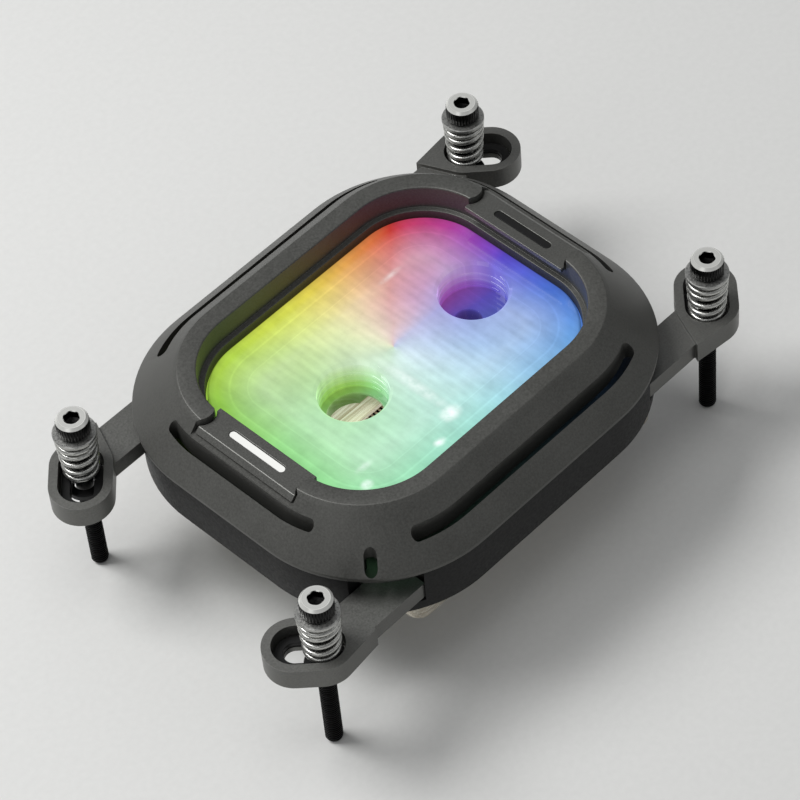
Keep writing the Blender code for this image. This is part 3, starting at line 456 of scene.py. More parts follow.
def lofted(name, lofts, ring=False):
    # each loft is a list of outlines, with as many points each; in a ring the last one meets the first
    bm = bmesh.new()
    for outlines in lofts:
        rows = [[bm.verts.new(point) for point in outline] for outline in outlines]
        pairs = list(zip(rows, rows[1:])) + ([(rows[-1], rows[0])] if ring else [])
        for lower, upper in pairs:
            for i in range(len(lower)):
                j = (i + 1) % len(lower)
                bm.faces.new((lower[i], lower[j], upper[j], upper[i]))
        if not ring:
            bm.faces.new(rows[0])
            bm.faces.new(rows[-1])
    return closedObject(name, bm)


def prisms(name, shapes):
    # each shape is an outline with its lower and its upper level
    return lofted(name, [[[(x, y, z) for x, y in outline] for z in (low, high)]
                         for outline, low, high in shapes])


def blockForm(name, section, ring=True):
    # follows the block's outline; a section's points are (radius, z, extra width in Y)
    return lofted(name, [[[(x, y, z) for x, y in blockOutline(radius, extra)]
                          for radius, z, extra in section]], ring)


def turned(name, profiles, steps=48, hexRows=()):
    # each profile is (radius, z) from end to end, with the spot that it turns about; the rows named in
    # hexRows are six-sided, and their radius is the one across flats
    bm = bmesh.new()
    for profile, spot in profiles:
        rows = []
        for row, (radius, z) in enumerate(profile):
            ring = []
            for i in range(steps if radius else 1):
                angle = 2 * math.pi * i / steps
                flats = math.cos(angle % (math.pi / 3) - math.pi / 6) if row in hexRows else 1.0
                ring.append(bm.verts.new((spot[0] + radius / flats * math.cos(angle),
                                          spot[1] + radius / flats * math.sin(angle), z)))
            rows.append(ring)
        for lower, upper in zip(rows, rows[1:]):
            for i in range(steps):
                j = i + 1
                face = list(dict.fromkeys([lower[i % len(lower)], lower[j % len(lower)],
                                           upper[j % len(upper)], upper[i % len(upper)]]))
                if len(face) > 2:
                    bm.faces.new(face)
    return closedObject(name, bm)


def rounded(section, rounds, steps=4):
    # rounds the first corners of a closed section by the radii given in mm
    result = []
    for i, (radius, z, extra) in enumerate(section):
        size = rounds[i] * mm if i < len(rounds) else 0
        if not size:
            result.append((radius, z, extra))
            continue
        here = Vector((radius, z))
        back = (Vector(section[i - 1][:2]) - here).normalized()
        ahead = (Vector(section[(i + 1) % len(section)][:2]) - here).normalized()
        half = back.angle(ahead) / 2
        run = size / math.tan(half)
        centre = here + (back + ahead).normalized() * (size / math.sin(half))
        first = here + back * run - centre
        sweep = first.angle_signed(here + ahead * run - centre)
        for step in range(steps + 1):
            spoke = Matrix.Rotation(-sweep * step / steps, 2) @ first
            result.append((centre[0] + spoke[0], centre[1] + spoke[1], extra))
    return result


def applyModifiers(item):
    bpy.context.view_layer.update()
    result = bpy.data.meshes.new_from_object(item.evaluated_get(bpy.context.evaluated_depsgraph_get()))
    item.modifiers.clear()
    old = item.data
    item.data = result
    bpy.data.meshes.remove(old)


def combine(item, cutters, operation="DIFFERENCE"):
    for cutter in cutters:
        modifier = item.modifiers.new(cutter.name, "BOOLEAN")
        modifier.object = cutter
        modifier.operation = operation
        modifier.solver = "EXACT"
        applyModifiers(item)
        bpy.data.objects.remove(cutter, do_unlink=True)


def smoothed(item, sharpAngle=40):
    item.data.shade_smooth()
    item.data.set_sharp_from_angle(angle=math.radians(sharpAngle))
    return item


def soften(item, width, sharpAngle=30):
    # smooth shading first, so that the bevel keeps the curved walls smooth and the flats flat
    smoothed(item, sharpAngle)
    modifier = item.modifiers.new("edges", "BEVEL")
    modifier.width = width
    modifier.segments = 2
    modifier.limit_method = "ANGLE"
    modifier.angle_limit = math.radians(sharpAngle)
    modifier.harden_normals = True
    applyModifiers(item)


def movedTo(item, spot):
    item.data.transform(Matrix.Translation((spot[0], spot[1], 0.0)))
    return item


def adopt(item, materials, replaced=(), body="block"):
    if not item.data.materials:
        for material in materials:
            item.data.materials.append(material)
    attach(item, body)
    if replaced:
        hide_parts(*replaced)


# Geometry Nodes: each tree is run on an empty object and gives back a plain mesh

def newTree(name, sockets):
    tree = bpy.data.node_groups.new(name, "GeometryNodeTree")
    tree.interface.new_socket("Geometry", in_out="OUTPUT", socket_type="NodeSocketGeometry")
    for label, kind in sockets.items():
        tree.interface.new_socket(label, in_out="INPUT", socket_type="NodeSocket" + kind)
    return tree, partial(addNode, tree), tree.nodes.new("NodeGroupInput").outputs


def closeTree(tree, shape, finish):
    shape = addNode(tree, "GeometryNodeRealizeInstances", [shape])
    shape = addNode(tree, "GeometryNodeSetMaterial", {"Geometry": shape, "Material": finish})
    tree.links.new(shape, tree.nodes.new("NodeGroupOutput").inputs[0])


def runTree(tree, name, values):
    item = newObject(name, bpy.data.meshes.new(name + "Seed"))
    modifier = item.modifiers.new("nodes", "NODES")
    modifier.node_group = tree
    for socket in tree.interface.items_tree:
        if socket.in_out == "INPUT":
            modifier[socket.identifier] = values[socket.name]
    applyModifiers(item)
    return item


def woundWireTree():
    # wire wound on a cone; endRise is the share of the height that the first and the last turn take
    tree, add, given = newTree("woundWire", {
        "turns": "Float", "stepsPerTurn": "Int", "footRadius": "Float", "topRadius": "Float",
        "bottom": "Float", "height": "Float", "endRise": "Float", "wireRadius": "Float", "sides": "Int",
        "finish": "Material"})
    points = add("ShaderNodeMath", [given["turns"], given["stepsPerTurn"]], operation="MULTIPLY")
    line = add("GeometryNodeMeshLine", {"Count": points}, mode="OFFSET")
    index = add("GeometryNodeInputIndex")
    last = add("ShaderNodeMath", [points, 1.0], operation="SUBTRACT")
    share = add("ShaderNodeMath", [index, last], operation="DIVIDE")
    turn = add("ShaderNodeMath", [share, given["turns"]], operation="MULTIPLY")
    angle = add("ShaderNodeMath", [turn, 2 * math.pi], operation="MULTIPLY")
    lastTurn = add("ShaderNodeMath", [given["turns"], 1.0], operation="SUBTRACT")
    openRise = add("ShaderNodeMath", [given["endRise"], -2.0, 1.0], operation="MULTIPLY_ADD")
    level = add("ShaderNodeMapRange", [turn, 0.0, 1.0, 0.0, given["endRise"]])
    for start, end, rise in ((1.0, lastTurn, openRise), (lastTurn, given["turns"], given["endRise"])):
        part = add("ShaderNodeMapRange", [turn, start, end, 0.0, rise])
        level = add("ShaderNodeMath", [level, part], operation="ADD")
    radius = add("ShaderNodeMapRange", [level, 0.0, 1.0, given["footRadius"], given["topRadius"]])
    place = []
    for wave in ("COSINE", "SINE"):
        side = add("ShaderNodeMath", [angle], operation=wave)
        place.append(add("ShaderNodeMath", [radius, side], operation="MULTIPLY"))
    place.append(add("ShaderNodeMath", [level, given["height"], given["bottom"]], operation="MULTIPLY_ADD"))
    place = add("ShaderNodeCombineXYZ", place)
    path = add("GeometryNodeSetPosition", {"Geometry": line, "Position": place})
    path = add("GeometryNodeMeshToCurve", [path])
    section = add("GeometryNodeCurvePrimitiveCircle", {"Resolution": given["sides"],
                                                       "Radius": given["wireRadius"]})
    wire = add("GeometryNodeCurveToMesh", {"Curve": path, "Profile Curve": section, "Fill Caps": True})
    closeTree(tree, add("GeometryNodeSetShadeSmooth", [wire]), given["finish"])
    return tree


def ringOfRibsTree():
    # upright ribs side by side round a head
    tree, add, given = newTree("ringOfRibs", {"ribs": "Int", "radius": "Float", "ribRadius": "Float",
                                         "height": "Float", "level": "Float", "finish": "Material"})
    ring = add("GeometryNodeMeshCircle", {"Vertices": given["ribs"], "Radius": given["radius"]})
    lift = add("ShaderNodeCombineXYZ", {"Z": given["level"]})
    ring = add("GeometryNodeSetPosition", {"Geometry": ring, "Offset": lift})
    rib = add("GeometryNodeMeshCylinder", {"Vertices": 8, "Radius": given["ribRadius"],
                                           "Depth": given["height"]})
    ribs = add("GeometryNodeInstanceOnPoints", {"Points": ring, "Instance": rib})
    closeTree(tree, add("GeometryNodeSetShadeSmooth", [ribs]), given["finish"])
    return tree


def gridOfCopiesTree():
    # copies of one modelled piece on a grid about the origin
    tree, add, given = newTree("gridOfCopies", {"piece": "Object", "spanX": "Float", "spanY": "Float",
                                           "countX": "Int", "countY": "Int", "finish": "Material"})
    spots = add("GeometryNodeMeshGrid", {"Size X": given["spanX"], "Size Y": given["spanY"],
                                         "Vertices X": given["countX"], "Vertices Y": given["countY"]})
    copy = add("GeometryNodeObjectInfo", [given["piece"]], "Geometry")
    closeTree(tree, add("GeometryNodeInstanceOnPoints", {"Points": spots, "Instance": copy}),
              given["finish"])
    return tree


wireTree = woundWireTree()
ribTree = ringOfRibsTree()
gridTree = gridOfCopiesTree()


def copiesOf(item, name, finish, spanX, spanY, countX, countY):
    result = runTree(gridTree, name, {"piece": item, "spanX": spanX, "spanY": spanY, "countX": countX,
                                      "countY": countY, "finish": finish})
    bpy.data.objects.remove(item, do_unlink=True)
    return result


# Cover: raised rim round the window, sloping flanks, hollow below

coverSizes = {
    "windowRadius": 13.3 * mm, "rimWidth": 3.1 * mm, "rimFillet": 0.7 * mm, "flankWidth": 7.2 * mm,
    "footEdge": 0.7 * mm, "ledgeTop": rimTop - 4.6 * mm, "ledgeBottom": rimTop - 6.8 * mm,
    "openingRadius": 12.4 * mm, "lampSpace": 16.0 * mm, "pocketTop": coverFoot + 1.8 * mm,
    "pocketRadius": 20.8 * mm,
    "rounds": (0.1, 0.35, 0.5, 0.35, 0.3, 0.1, 0.15),  # mm, from the foot over the rim to the ledge
    "sideSlotRadius": 20.6 * mm, "sideSlotWidth": 1.9 * mm, "sideSlotAngle": 24.0,
    "endSlotRadius": 19.4 * mm, "endSlotWidth": 1.5 * mm, "endSlotAngle": 17.0,
    "notchInner": 22.0 * mm, "notchOuter": 23.3 * mm, "notchWidth": 2.1 * mm,  # lets the lamps' lead out
    "rimEndRadius": 2.2 * mm, "rimEndShoulder": 0.4 * mm, "edgeSoftness": 0.16 * mm,
}
plateSizes = {
    "halfLength": 10.0 * mm, "inner": 28.1 * mm, "outer": 33.0 * mm, "slope": 0.9 * mm,
    "inlayHalf": 5.3 * mm, "inlayWidth": 1.4 * mm, "inlayDepth": 0.4 * mm,
    "paintDepth": 0.12 * mm, "paintGap": 0.08 * mm, "paintSoftness": 0.05 * mm, "edgeSoftness": 0.13 * mm,
}


def slotPath(radius, angle, side, alongX, steps=8):
    # from one rounded corner past the straight part to the next
    path = []
    for step in range(steps + 1):
        turn = math.radians(angle * (1 - step / steps))
        if alongX:
            path.append((-coreX - radius * math.sin(turn), side * (coreY + radius * math.cos(turn))))
        else:
            path.append((side * (coreX + radius * math.cos(turn)), -coreY - radius * math.sin(turn)))
    return path + [(-x, y) if alongX else (x, -y) for x, y in path[::-1]]


def endPlateOutline(side, inner, outer, trim, steps=8):
    # its hollow ends follow the round ends of the rim
    c = coverSizes
    middle = coreX + c["windowRadius"] + c["rimWidth"] / 2
    shoulder = c["rimWidth"] / 2 + c["rimEndShoulder"]
    centre = plateSizes["halfLength"] + c["rimEndRadius"]
    half = []
    for step in range(-steps, steps + 1):
        across = shoulder * step / steps
        half.append((middle + across, centre - math.sqrt((c["rimEndRadius"] + trim) ** 2 - across ** 2)))
    half = [(inner, half[0][1])] + half + [(outer, half[-1][1])]
    return [(side * x, y) for x, y in half] + [(side * x, -y) for x, y in half[::-1]]


def buildCover():
    c = coverSizes
    rimOuter = c["windowRadius"] + c["rimWidth"]
    foot = rimOuter + c["flankWidth"]
    section = [
        (foot, coverFoot, spreadY), (foot, coverFoot + c["footEdge"], spreadY),
        (rimOuter + c["rimFillet"], rimTop - c["rimFillet"], 0.0), (rimOuter, rimTop, 0.0),
        (c["windowRadius"], rimTop, 0.0), (c["windowRadius"], c["ledgeTop"], 0.0),
        (c["openingRadius"], c["ledgeTop"], 0.0), (c["openingRadius"], c["ledgeBottom"], 0.0),
        (c["lampSpace"], c["ledgeBottom"], 0.0), (c["lampSpace"], c["pocketTop"], 0.0),
        (c["pocketRadius"], c["pocketTop"], spreadY), (c["pocketRadius"], coverFoot, spreadY),
    ]
    cover = blockForm("coverShell", rounded(section, c["rounds"]))

    bands = []
    for side in (1, -1):
        for name, alongX in (("side", True), ("end", False)):
            path = slotPath(c[name + "SlotRadius"], c[name + "SlotAngle"], side, alongX)
            bands.append(ribbon(path, c[name + "SlotWidth"]))
    diagonal = math.sqrt(0.5)
    notch = [(-coreX - r * diagonal, -coreY - r * diagonal) for r in (c["notchInner"], c["notchOuter"])]
    bands.append(ribbon(notch, c["notchWidth"], 20))
    slots = [(band, coverFoot - clear, rimTop + clear) for band in bands]
    recesses = [(endPlateOutline(side, plateSizes["inner"] - gap, beyond, 0.0), plateLow - gap,
                 rimTop + clear) for side in (1, -1)]
    combine(cover, [prisms("slots", slots), prisms("recesses", recesses)])
    soften(cover, c["edgeSoftness"])
    adopt(cover, [coverGrey], ["cover"])


def buildEndPlate(node, side, paint):
    p = plateSizes
    lower = endPlateOutline(side, p["inner"], p["outer"] + p["slope"], gap)
    upper = endPlateOutline(side, p["inner"], p["outer"], gap)
    plate = lofted(node + "Plate", [[[(x, y, plateLow) for x, y in lower],
                                     [(x, y, plateTop) for x, y in upper]]])
    middle = side * (p["inner"] + p["outer"]) / 2
    bar = [(middle, -p["inlayHalf"]), (middle, p["inlayHalf"])]
    floor = plateTop - p["inlayDepth"]
    combine(plate, [prisms("inlay", [(ribbon(bar, p["inlayWidth"], 16), floor, plateTop + clear)])])
    soften(plate, p["edgeSoftness"])
    adopt(plate, [plateGrey], [node])
    # a plain bar of paint lies in the recess
    width = p["inlayWidth"] - 2 * p["paintGap"]
    fill = prisms(node + "Paint", [(ribbon(bar, width, 16), floor, plateTop - p["paintDepth"])])
    soften(fill, p["paintSoftness"])
    adopt(fill, [paint])


# Acrylic top: clear manifold with two threaded ports over the fins

acrylicSizes = {
    "radius": 12.1 * mm, "edge": 0.4 * mm, "shoulderRadius": 15.1 * mm,
    "shoulderTop": acrylicLow + 2.1 * mm, "chamberRadius": 5.6 * mm, "chamberTop": 22.9 * mm,
    "jetTop": 22.6 * mm, "plenumHalf": (13.0 * mm, 3.0 * mm), "plenumTop": 25.0 * mm,
    "inletX": -9.6 * mm, "outletX": 18.4 * mm, "portRadius": 5.9 * mm, "portDepth": 6.0 * mm,
    "portChamfer": 0.5 * mm, "inletBore": 4.8 * mm, "outletBore": 2.5 * mm, "outletShift": 1.6 * mm,
    "threadPitch": 1.337 * mm, "threadHeight": 0.26 * mm, "threadEnds": (0.7 * mm, 1.3 * mm),
    "edgeSoftness": 0.1 * mm,
}


def buildAcrylic():
    a = acrylicSizes
    block = blockForm("acrylicBlock", [
        (a["shoulderRadius"], acrylicLow, 0.0), (a["shoulderRadius"], a["shoulderTop"], 0.0),
        (a["radius"], a["shoulderTop"], 0.0), (a["radius"], acrylicTop - a["edge"], 0.0),
        (a["radius"] - a["edge"], acrylicTop, 0.0)], ring=False)

    plenum = [(sx * a["plenumHalf"][0], sy * a["plenumHalf"][1]) for sx, sy in corners]
    mouth = acrylicTop + clear
    floor = acrylicTop - a["portDepth"]
    port = [(0, mouth), (a["portRadius"] + a["portChamfer"] + clear, mouth),
            (a["portRadius"], acrylicTop - a["portChamfer"]), (a["portRadius"], floor), (0, floor)]
    bores = []
    for x, radius in ((a["inletX"], a["inletBore"]), (a["outletX"] - a["outletShift"], a["outletBore"])):
        bore = [(0, floor + gap), (radius, floor + gap), (radius, a["jetTop"]), (0, a["jetTop"])]
        bores.append((bore, (x, 0.0)))
    combine(block, [
        prisms("chamber", [(blockOutline(a["chamberRadius"]), acrylicLow - gap, a["chamberTop"])]),
        prisms("plenum", [(plenum, a["jetTop"], a["plenumTop"])]),
        turned("ports", [(port, (x, 0.0)) for x in (a["inletX"], a["outletX"])], 96),
        turned("bores", bores, 72)])
    soften(block, a["edgeSoftness"])
    adopt(block, [acrylic], ["acrylic_top"])

    # thread ridges in both ports
    height = a["portDepth"] - sum(a["threadEnds"])
    ridge = runTree(wireTree, "ridge", {
        "turns": height / a["threadPitch"], "stepsPerTurn": 64, "footRadius": a["portRadius"],
        "topRadius": a["portRadius"], "bottom": floor + a["threadEnds"][0], "height": height,
        "endRise": a["threadPitch"] / height, "wireRadius": a["threadHeight"], "sides": 6,
        "finish": acrylic})
    threads = copiesOf(ridge, "portThreads", acrylic, a["outletX"] - a["inletX"], 0.0, 2, 1)
    adopt(movedTo(threads, ((a["inletX"] + a["outletX"]) / 2, 0.0)), [acrylic])


# Mounting bracket: a ring clamped in the block, four arms and a slotted pad on each

bracketSizes = {
    "low": padLow + 0.2 * mm, "high": padTop - 0.6 * mm, "ringInner": 12.4 * mm, "ringOuter": 20.6 * mm,
    "armWidth": 7.3 * mm, "armInner": 26.0 * mm, "armInset": 0.1 * mm,
    "padWidth": 2 * (cadBox[1][0] - screwSpots[0][0] - slotRun[0]),  # its round end touches the CAD's box
    "tail": (7.5 * mm, 4.4 * mm), "springSlot": 7.3 * mm, "screwSlot": 3.8 * mm,
    "slotFloor": linerLow - gap, "edgeSoftness": 0.22 * mm, "linerSoftness": 0.12 * mm,
}


def armOutline(index, inner, outer, halfWidth):
    sx = corners[index][0]
    near, far = sorted((sx * inner, sx * outer))
    y = screwSpots[index][1]
    return [(near, y - halfWidth), (far, y - halfWidth), (far, y + halfWidth), (near, y + halfWidth)]


def buildBracket():
    b = bracketSizes
    bracket = blockForm("bracketPlate", [
        (b["ringOuter"], b["low"], spreadY), (b["ringOuter"], b["high"], spreadY),
        (b["ringInner"], b["high"], 0.0), (b["ringInner"], b["low"], 0.0)])
    arms, pads, springSlots, screwSlots = [], [], [], []
    for index, (sx, sy) in enumerate(corners):
        x, y = screwSpots[index]
        arms.append((armOutline(index, b["armInner"], abs(x), b["armWidth"] / 2),
                     b["low"] + b["armInset"], b["high"] - b["armInset"]))
        around = padSlot(index, b["padWidth"]) + [(x - sx * b["tail"][0], y + sy * b["tail"][1])]
        pads.append(([around[i] for i in convex_hull_2d(around)], padLow, padTop))
        springSlots.append((padSlot(index, b["springSlot"]), b["slotFloor"], padTop + clear))
        screwSlots.append((padSlot(index, b["screwSlot"]), padLow - clear, b["slotFloor"] + gap))
    combine(bracket, [prisms("arms", arms), prisms("pads", pads)], "UNION")
    combine(bracket, [prisms("springSlots", springSlots), prisms("screwSlots", screwSlots)])
    soften(bracket, b["edgeSoftness"])
    adopt(bracket, [bracketGrey], ["mounting_bracket"])

    # black liner on the floor of each slot
    floors = [(padSlot(index, b["springSlot"] - 2 * gap), linerLow, linerTop) for index in range(4)]
    holes = [(padSlot(index, b["screwSlot"]), linerLow - clear, linerTop + clear) for index in range(4)]
    liners = prisms("slotLiners", floors)
    combine(liners, [prisms("holes", holes)])
    soften(liners, b["linerSoftness"])
    adopt(liners, [nylonBlack], numbered("slot_liner_", 4))


# Lower housing: dark skirt with a notch for each arm

housingSizes = {
    "outer": 22.8 * mm, "inner": 20.9 * mm, "floorOpening": 15.4 * mm, "floorTop": housingLow + 2.1 * mm,
    "rounds": (0.35, 0.3, 0.2, 0, 0, 0.1),  # mm, from the foot outside over the top and down inside
    "screwHead": 1.95 * mm, "screwHeadDepth": 1.5 * mm, "edgeSoftness": 0.15 * mm,
}


def buildHousing():
    h = housingSizes
    section = [
        (h["outer"], housingLow, spreadY), (h["outer"], housingTop, spreadY),
        (h["inner"], housingTop, spreadY), (h["inner"], h["floorTop"], spreadY),
        (h["floorOpening"], h["floorTop"], 0.0), (h["floorOpening"], housingLow, 0.0),
    ]
    housing = blockForm("housingSkirt", rounded(section, h["rounds"]))
    halfWidth = bracketSizes["armWidth"] / 2 + gap
    notches = [(armOutline(index, coreX, beyond, halfWidth), h["floorTop"], housingTop + clear)
               for index in range(4)]
    top, low = housingLow + h["screwHeadDepth"], housingLow - gap
    recess = [(0, top), (h["screwHead"], top), (h["screwHead"], low), (0, low)]
    recesses = [(recess, middleOf(node)) for node in numbered("cover_screw_", 4)]
    combine(housing, [prisms("notches", notches), turned("headRecesses", recesses, 40)])
    soften(housing, h["edgeSoftness"])
    adopt(housing, [housingBlack], ["lower_housing"])


# Cold plate: ground contact face below, a stack of thin fins above

coldPlateSizes = {
    "contactHalf": (20.0 * mm, 17.0 * mm), "contactCorner": 2.0 * mm, "contactHeight": 0.8 * mm,
    "flangeCorner": 2.5 * mm, "flange": 2.8 * mm, "finHalf": (14.0 * mm, 13.0 * mm), "finPitch": 0.8 * mm,
    "finThickness": 0.4 * mm, "sink": 2.45 * mm, "edgeSoftness": 0.18 * mm,
}
blockScrewSizes = {
    "socket": 0.65 * mm, "depth": 0.7 * mm, "socketTip": 0.3 * mm, "socketEdge": (0.12 * mm, 0.1 * mm),
    "headEdge": 0.15 * mm, "tip": 0.4 * mm,
}
baseScrewSizes = {**blockScrewSizes, "head": 2.2 * mm, "rim": 0.3 * mm, "cone": 0.95 * mm,
                  "shank": 1.25 * mm}
coverScrewSizes = {**blockScrewSizes, "head": 1.7 * mm, "rim": 1.2 * mm, "cone": 0.0, "shank": 1.0 * mm}


def spanOf(nodes):
    # the rectangle that the middles of these nodes fill
    return [max(values) - min(values) for values in zip(*(middleOf(node) for node in nodes))]


def buildColdPlate():
    p = coldPlateSizes
    low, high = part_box("cold_plate")
    bottom = low.z + p["contactHeight"]
    top = bottom + p["flange"]
    plate = prisms("coldPlateBody", [(roundedBox(high.x, high.y, p["flangeCorner"]), bottom, top)])
    pad = prisms("contactPad", [(roundedBox(*p["contactHalf"], p["contactCorner"]), low.z, bottom + gap)])
    combine(plate, [pad], "UNION")
    sink = [(0, bottom + p["sink"]), (p["sink"], bottom + gap), (p["sink"], bottom - gap),
            (0, bottom - gap)]
    sinks = [(sink, middleOf(node)) for node in numbered("base_screw_", 6)]
    combine(plate, [turned("countersinks", sinks, 40)])
    soften(plate, p["edgeSoftness"])
    adopt(plate, [nickelPlate], ["cold_plate"])

    halfX, halfY = p["finHalf"]
    span = 2 * halfX - p["finThickness"]
    bm = bmesh.new()
    shape = Matrix.Diagonal((p["finThickness"], 2 * halfY, high.z - top, 1.0))
    bmesh.ops.create_cube(bm, size=1.0, matrix=Matrix.Translation((0, 0, (high.z + top) / 2)) @ shape)
    fins = copiesOf(closedObject("fin", bm), "coldPlateFins", nickelPlate, span, 0.0,
                    int(span / p["finPitch"]) + 1, 1)
    adopt(fins, [nickelPlate])


def buildBlockScrews(name, nodes, s, counts):
    # screws seen from below, all alike
    low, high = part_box(nodes[0])
    seat = low.z + s["rim"]
    wider, deeper = s["socketEdge"]
    profile = [
        (0, low.z + s["depth"] + s["socketTip"]), (s["socket"], low.z + s["depth"]),
        (s["socket"], low.z + deeper), (s["socket"] + wider, low.z), (s["head"] - s["headEdge"], low.z),
        (s["head"], low.z + s["headEdge"]), (s["head"], seat), (s["shank"], seat + s["cone"]),
        (s["shank"], high.z - s["tip"]), (s["shank"] - s["tip"], high.z), (0, high.z)]
    screw = smoothed(turned(name + "One", [(profile, (0.0, 0.0))], hexRows=(1, 2)))
    adopt(copiesOf(screw, name, blackOxide, *spanOf(nodes), *counts), [blackOxide], nodes)


# Mounting screws, each with its washer, retaining clip and spring

screwSizes = {
    "head": 2.75 * mm, "headHeight": 3.0 * mm, "chamfer": 0.45 * mm, "headFoot": 0.1 * mm,
    "socket": 1.25 * mm, "socketDepth": 1.5 * mm, "socketTip": 0.4 * mm,
    "socketEdge": (0.14 * mm, 0.12 * mm), "bareFrom": 0.05 * mm,
    "ribs": 34, "ribRadius": 0.13 * mm, "ribStand": 0.06 * mm, "ribSink": 0.07 * mm, "ribMargin": 0.25 * mm,
    "shank": 1.5 * mm, "tip": (0.3 * mm, 0.4 * mm), "threadTop": 18.6 * mm, "threadPitch": 0.5 * mm,
    "threadDepth": 0.14 * mm, "threadRadius": 0.13 * mm, "threadEnds": (0.4 * mm, 0.5 * mm),
}
ringSizes = {"bore": 1.75 * mm, "edge": 0.15 * mm}
springSizes = {"foot": 2.6 * mm, "top": 3.0 * mm, "wire": 0.5 * mm, "turns": 5.0, "endRise": 0.12,
               "sides": 14, "stepsPerTurn": 48, "press": 3.5 * mm}


def buildMountingScrew(label, body, spot):
    s = screwSizes
    top = levelsOf("mounting_screw_" + label)[1]
    headLow = top - s["headHeight"]
    side = s["head"] - s["ribStand"]
    root = s["shank"] - s["threadDepth"]
    wider, deeper = s["socketEdge"]
    narrower, tipTop = s["tip"]
    profile = [
        (0, top - s["socketDepth"] - s["socketTip"]), (s["socket"], top - s["socketDepth"]),
        (s["socket"], top - deeper), (s["socket"] + wider, top), (s["head"] - s["chamfer"], top),
        (side, top - s["chamfer"]), (side, headLow + s["headFoot"]), (side - s["headFoot"], headLow),
        (s["shank"], headLow), (s["shank"], s["threadTop"]), (root, s["threadTop"] - narrower),
        (root, tipTop), (root - narrower, 0), (0, 0)]
    screw = smoothed(turned("mountingScrew" + label, [(profile, spot)], hexRows=(1, 2)))
    for face in screw.data.polygons:
        out = math.hypot(face.center.x - spot[0], face.center.y - spot[1])
        if face.center.z > top - s["chamfer"] and out > s["socket"] + s["bareFrom"]:
            face.material_index = 1  # the turned top is bare, and near white as a painted highlight
    adopt(screw, [blackOxide, turnedHighlightSteel], ["mounting_screw_" + label], body)

    ribs = runTree(ribTree, "screwRibs" + label, {
        "ribs": s["ribs"], "radius": side - s["ribSink"], "ribRadius": s["ribRadius"],
        "height": s["headHeight"] - s["chamfer"] - s["ribMargin"],
        "level": headLow + (s["headHeight"] - s["chamfer"]) / 2, "finish": blackOxide})
    adopt(movedTo(ribs, spot), [blackOxide], body=body)
    height = s["threadTop"] - sum(s["threadEnds"])
    thread = runTree(wireTree, "screwThread" + label, {
        "turns": height / s["threadPitch"], "stepsPerTurn": 16, "footRadius": root, "topRadius": root,
        "bottom": s["threadEnds"][0], "height": height, "endRise": s["threadPitch"] / height,
        "wireRadius": s["threadRadius"], "sides": 5, "finish": blackOxide})
    adopt(movedTo(thread, spot), [blackOxide], body=body)


def buildRing(name, node, finish, body, spot):
    # a flat ring on the screw: its washer or its clip
    low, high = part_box(node)
    inner, outer, edge = ringSizes["bore"], (high.x - low.x) / 2, ringSizes["edge"]
    profile = [
        (inner, low.z + edge / 2), (inner, high.z - edge / 2), (inner + edge / 2, high.z),
        (outer - edge, high.z), (outer, high.z - edge), (outer, low.z + edge), (outer - edge, low.z),
        (inner + edge / 2, low.z), (inner, low.z + edge / 2)]
    adopt(smoothed(turned(name, [(profile, spot)], 56)), [finish], [node], body)


def buildSpring(label, spot):
    # it stands on its liner
    w = springSizes
    low, high = levelsOf("screw_spring_" + label)
    spring = runTree(wireTree, "spring" + label, {
        "turns": w["turns"], "stepsPerTurn": w["stepsPerTurn"], "footRadius": w["foot"],
        "topRadius": w["top"], "bottom": low + w["wire"], "height": high - low - 2 * w["wire"],
        "endRise": w["endRise"], "wireRadius": w["wire"], "sides": w["sides"], "finish": springWire})
    adopt(movedTo(spring, spot), [springWire], ["screw_spring_" + label])
    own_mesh(spring)


# Making everything

coverGrey = anodisedAluminium("blastedAnodisedAluminium", "grey_anodised", blastedLook)
plateGrey = anodisedAluminium("milledAnodisedAluminium", "grey_anodised", plateLook)
bracketGrey = anodisedAluminium("stampedAnodisedAluminium", "bracket_anodised", bracketLook)
housingBlack = mouldedPlastic("mouldedGlassNylon", "black_plastic", housingLook)
nylonBlack = mouldedPlastic("mouldedBlackNylon", "nylon", nylonLook)
sealRubber = mouldedPlastic("mouldedSealRubber", "black_rubber", rubberLook)
boardMask = mouldedPlastic("solderMaskBoard", "circuit_board", boardLook)
whitePaint = mouldedPlastic("whiteInfillPaint", "grey_anodised", whitePaintLook)
blackPaint = mouldedPlastic("blackInfillPaint", "grey_anodised", blackPaintLook)
blackOxide = workedMetal("blackOxideSteel", "black_oxide", oxideLook)
turnedHighlightSteel = workedMetal("turnedSteelFaceHighlight", "black_oxide", turnedHighlightLook)
springWire = workedMetal("nickelPlatedSpringWire", "spring_wire", wireLook)
washerSteel = workedMetal("stampedStainless", "stainless", washerLook)
nickelPlate = workedMetal("groundNickelPlatedCopper", "nickel_plate", nickelLook)
jetSteel = workedMetal("etchedStainless", "stainless", jetLook)
acrylic = litAcrylic(acrylicLook)
opal = opalAcrylic(opalLook)
print("materials made")

buildCover()
buildEndPlate("end_plate_front", -1, whitePaint)
buildEndPlate("end_plate_back", 1, blackPaint)
print("cover and end plates built")
buildAcrylic()
print("acrylic built")
buildBracket()
buildHousing()
print("bracket and housing built")
buildColdPlate()
buildBlockScrews("baseScrews", numbered("base_screw_", 6), baseScrewSizes, (3, 2))
buildBlockScrews("coverScrews", numbered("cover_screw_", 4), coverScrewSizes, (2, 2))
print("cold plate and its screws built")
for label, spot in zip("1234", screwSpots):
    screwBody = "screw_set_" + label
    buildMountingScrew(label, screwBody, spot)
    buildRing("washer" + label, "spring_washer_" + label, washerSteel, screwBody, spot)
    buildRing("clip" + label, "retaining_clip_" + label, nylonBlack, screwBody, spot)
    buildSpring(label, spot)
print("mounting screws built")

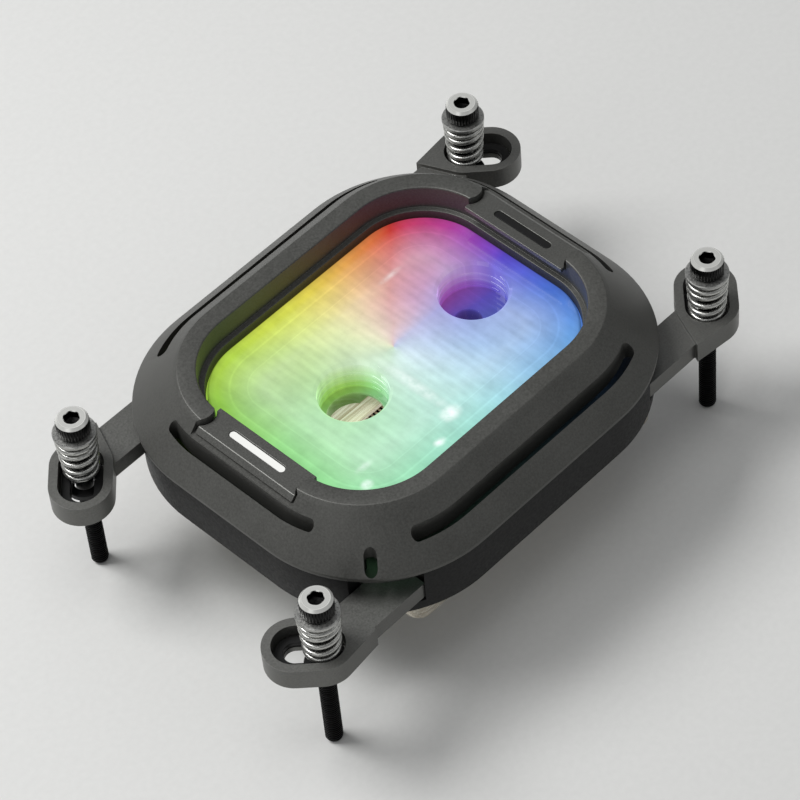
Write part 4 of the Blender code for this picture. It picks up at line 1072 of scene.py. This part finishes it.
for node, finish in (("jet_plate", jetSteel), ("main_seal", sealRubber), ("light_guide", opal),
                     ("led_board", boardMask)):
    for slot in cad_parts[node].material_slots:
        slot.material = finish
print("inner nodes dressed")


# Floor, lamps and camera

floorLook = {"light": "#DADAD8", "dark": "#D2D2D0", "fibreMm": 1.2, "size": 3.0, "below": 0.1 * mm}
sky = {"colour": "#E4E6E8", "strength": 0.33}
# azimuth and elevation in degrees, distance and width in metres, then watts
lamps = {
    "keyPanel": (124.0, 56.0, 0.70, 0.34, 3.9),
    "sidePanel": (-168.0, 34.0, 0.75, 0.35, 0.35),
    "topPanel": (-120.0, 86.0, 0.80, 0.40, 0.85),
    "frontPanel": (-62.0, 40.0, 0.70, 0.35, 0.15),
}
# fitted to the photograph: the screws' heads fall on the same pixels
cameraView = {"azimuth": -131.8916, "elevation": 49.9849, "roll": -5.8120, "distance": 0.5895,
              "focalPixels": 3710.51, "imagePixels": 800, "right": 0.001168, "up": -0.010082}


def towards(azimuth, elevation):
    turn, lift = math.radians(azimuth), math.radians(elevation)
    return Vector((math.cos(turn) * math.cos(lift), math.sin(turn) * math.cos(lift), math.sin(lift)))


def buildFloor():
    # heavy studio paper: pale, matte, with fibres that only just show
    look = floorLook
    bm = bmesh.new()
    bmesh.ops.create_grid(bm, x_segments=1, y_segments=1, size=look["size"])
    floor = closedObject("studioFloor", bm)
    material, add, shader, where = newMaterial("matteStudioPaper", "", {
        "Roughness": 0.85, "Specular IOR Level": 0.2})
    fibre = add("ShaderNodeTexNoise", {"Vector": where, "Scale": 1 / (look["fibreMm"] * mm), "Detail": 3.0})
    add("ShaderNodeMix", {0: fibre, 6: srgb(look["dark"]), 7: srgb(look["light"])}, 2,
        to=[shader["Base Color"]], data_type="RGBA")
    floor.data.materials.append(material)
    floor.location.z = -look["below"]


def buildLamps():
    for name, (azimuth, elevation, distance, width, watts) in lamps.items():
        data = bpy.data.lights.new(name, "AREA")
        data.shape = "SQUARE"
        data.size = width
        data.energy = watts
        lamp = newObject(name, data)
        spot = towards(azimuth, elevation)
        lamp.location = spot * distance
        lamp.rotation_euler = spot.to_track_quat("Z", "Y").to_euler()
    world = bpy.data.worlds.new("studio")
    bpy.context.scene.world = world
    world.use_nodes = True
    background = world.node_tree.nodes["Background"].inputs
    background["Color"].default_value = srgb(sky["colour"])
    background["Strength"].default_value = sky["strength"]


def buildCamera():
    v = cameraView
    upright = towards(v["azimuth"], v["elevation"]).to_track_quat("Z", "Y").to_matrix()
    turn = upright @ Matrix.Rotation(math.radians(v["roll"]), 3, "Z")
    target = Vector((0, 0, levelsOf("mounting_screw_1")[1]))
    place = target + turn @ Vector((v["right"], v["up"], v["distance"]))
    data = bpy.data.cameras.new("camera")
    data.sensor_width = 36.0
    data.lens = v["focalPixels"] * data.sensor_width / v["imagePixels"]
    data.clip_start = 0.01
    camera = newObject("camera", data)
    camera.matrix_world = Matrix.LocRotScale(place, turn, None)
    bpy.context.scene.camera = camera


buildFloor()
buildLamps()
buildCamera()
bpy.context.scene.view_settings.view_transform = "Standard"
print("floor, lamps and camera set")
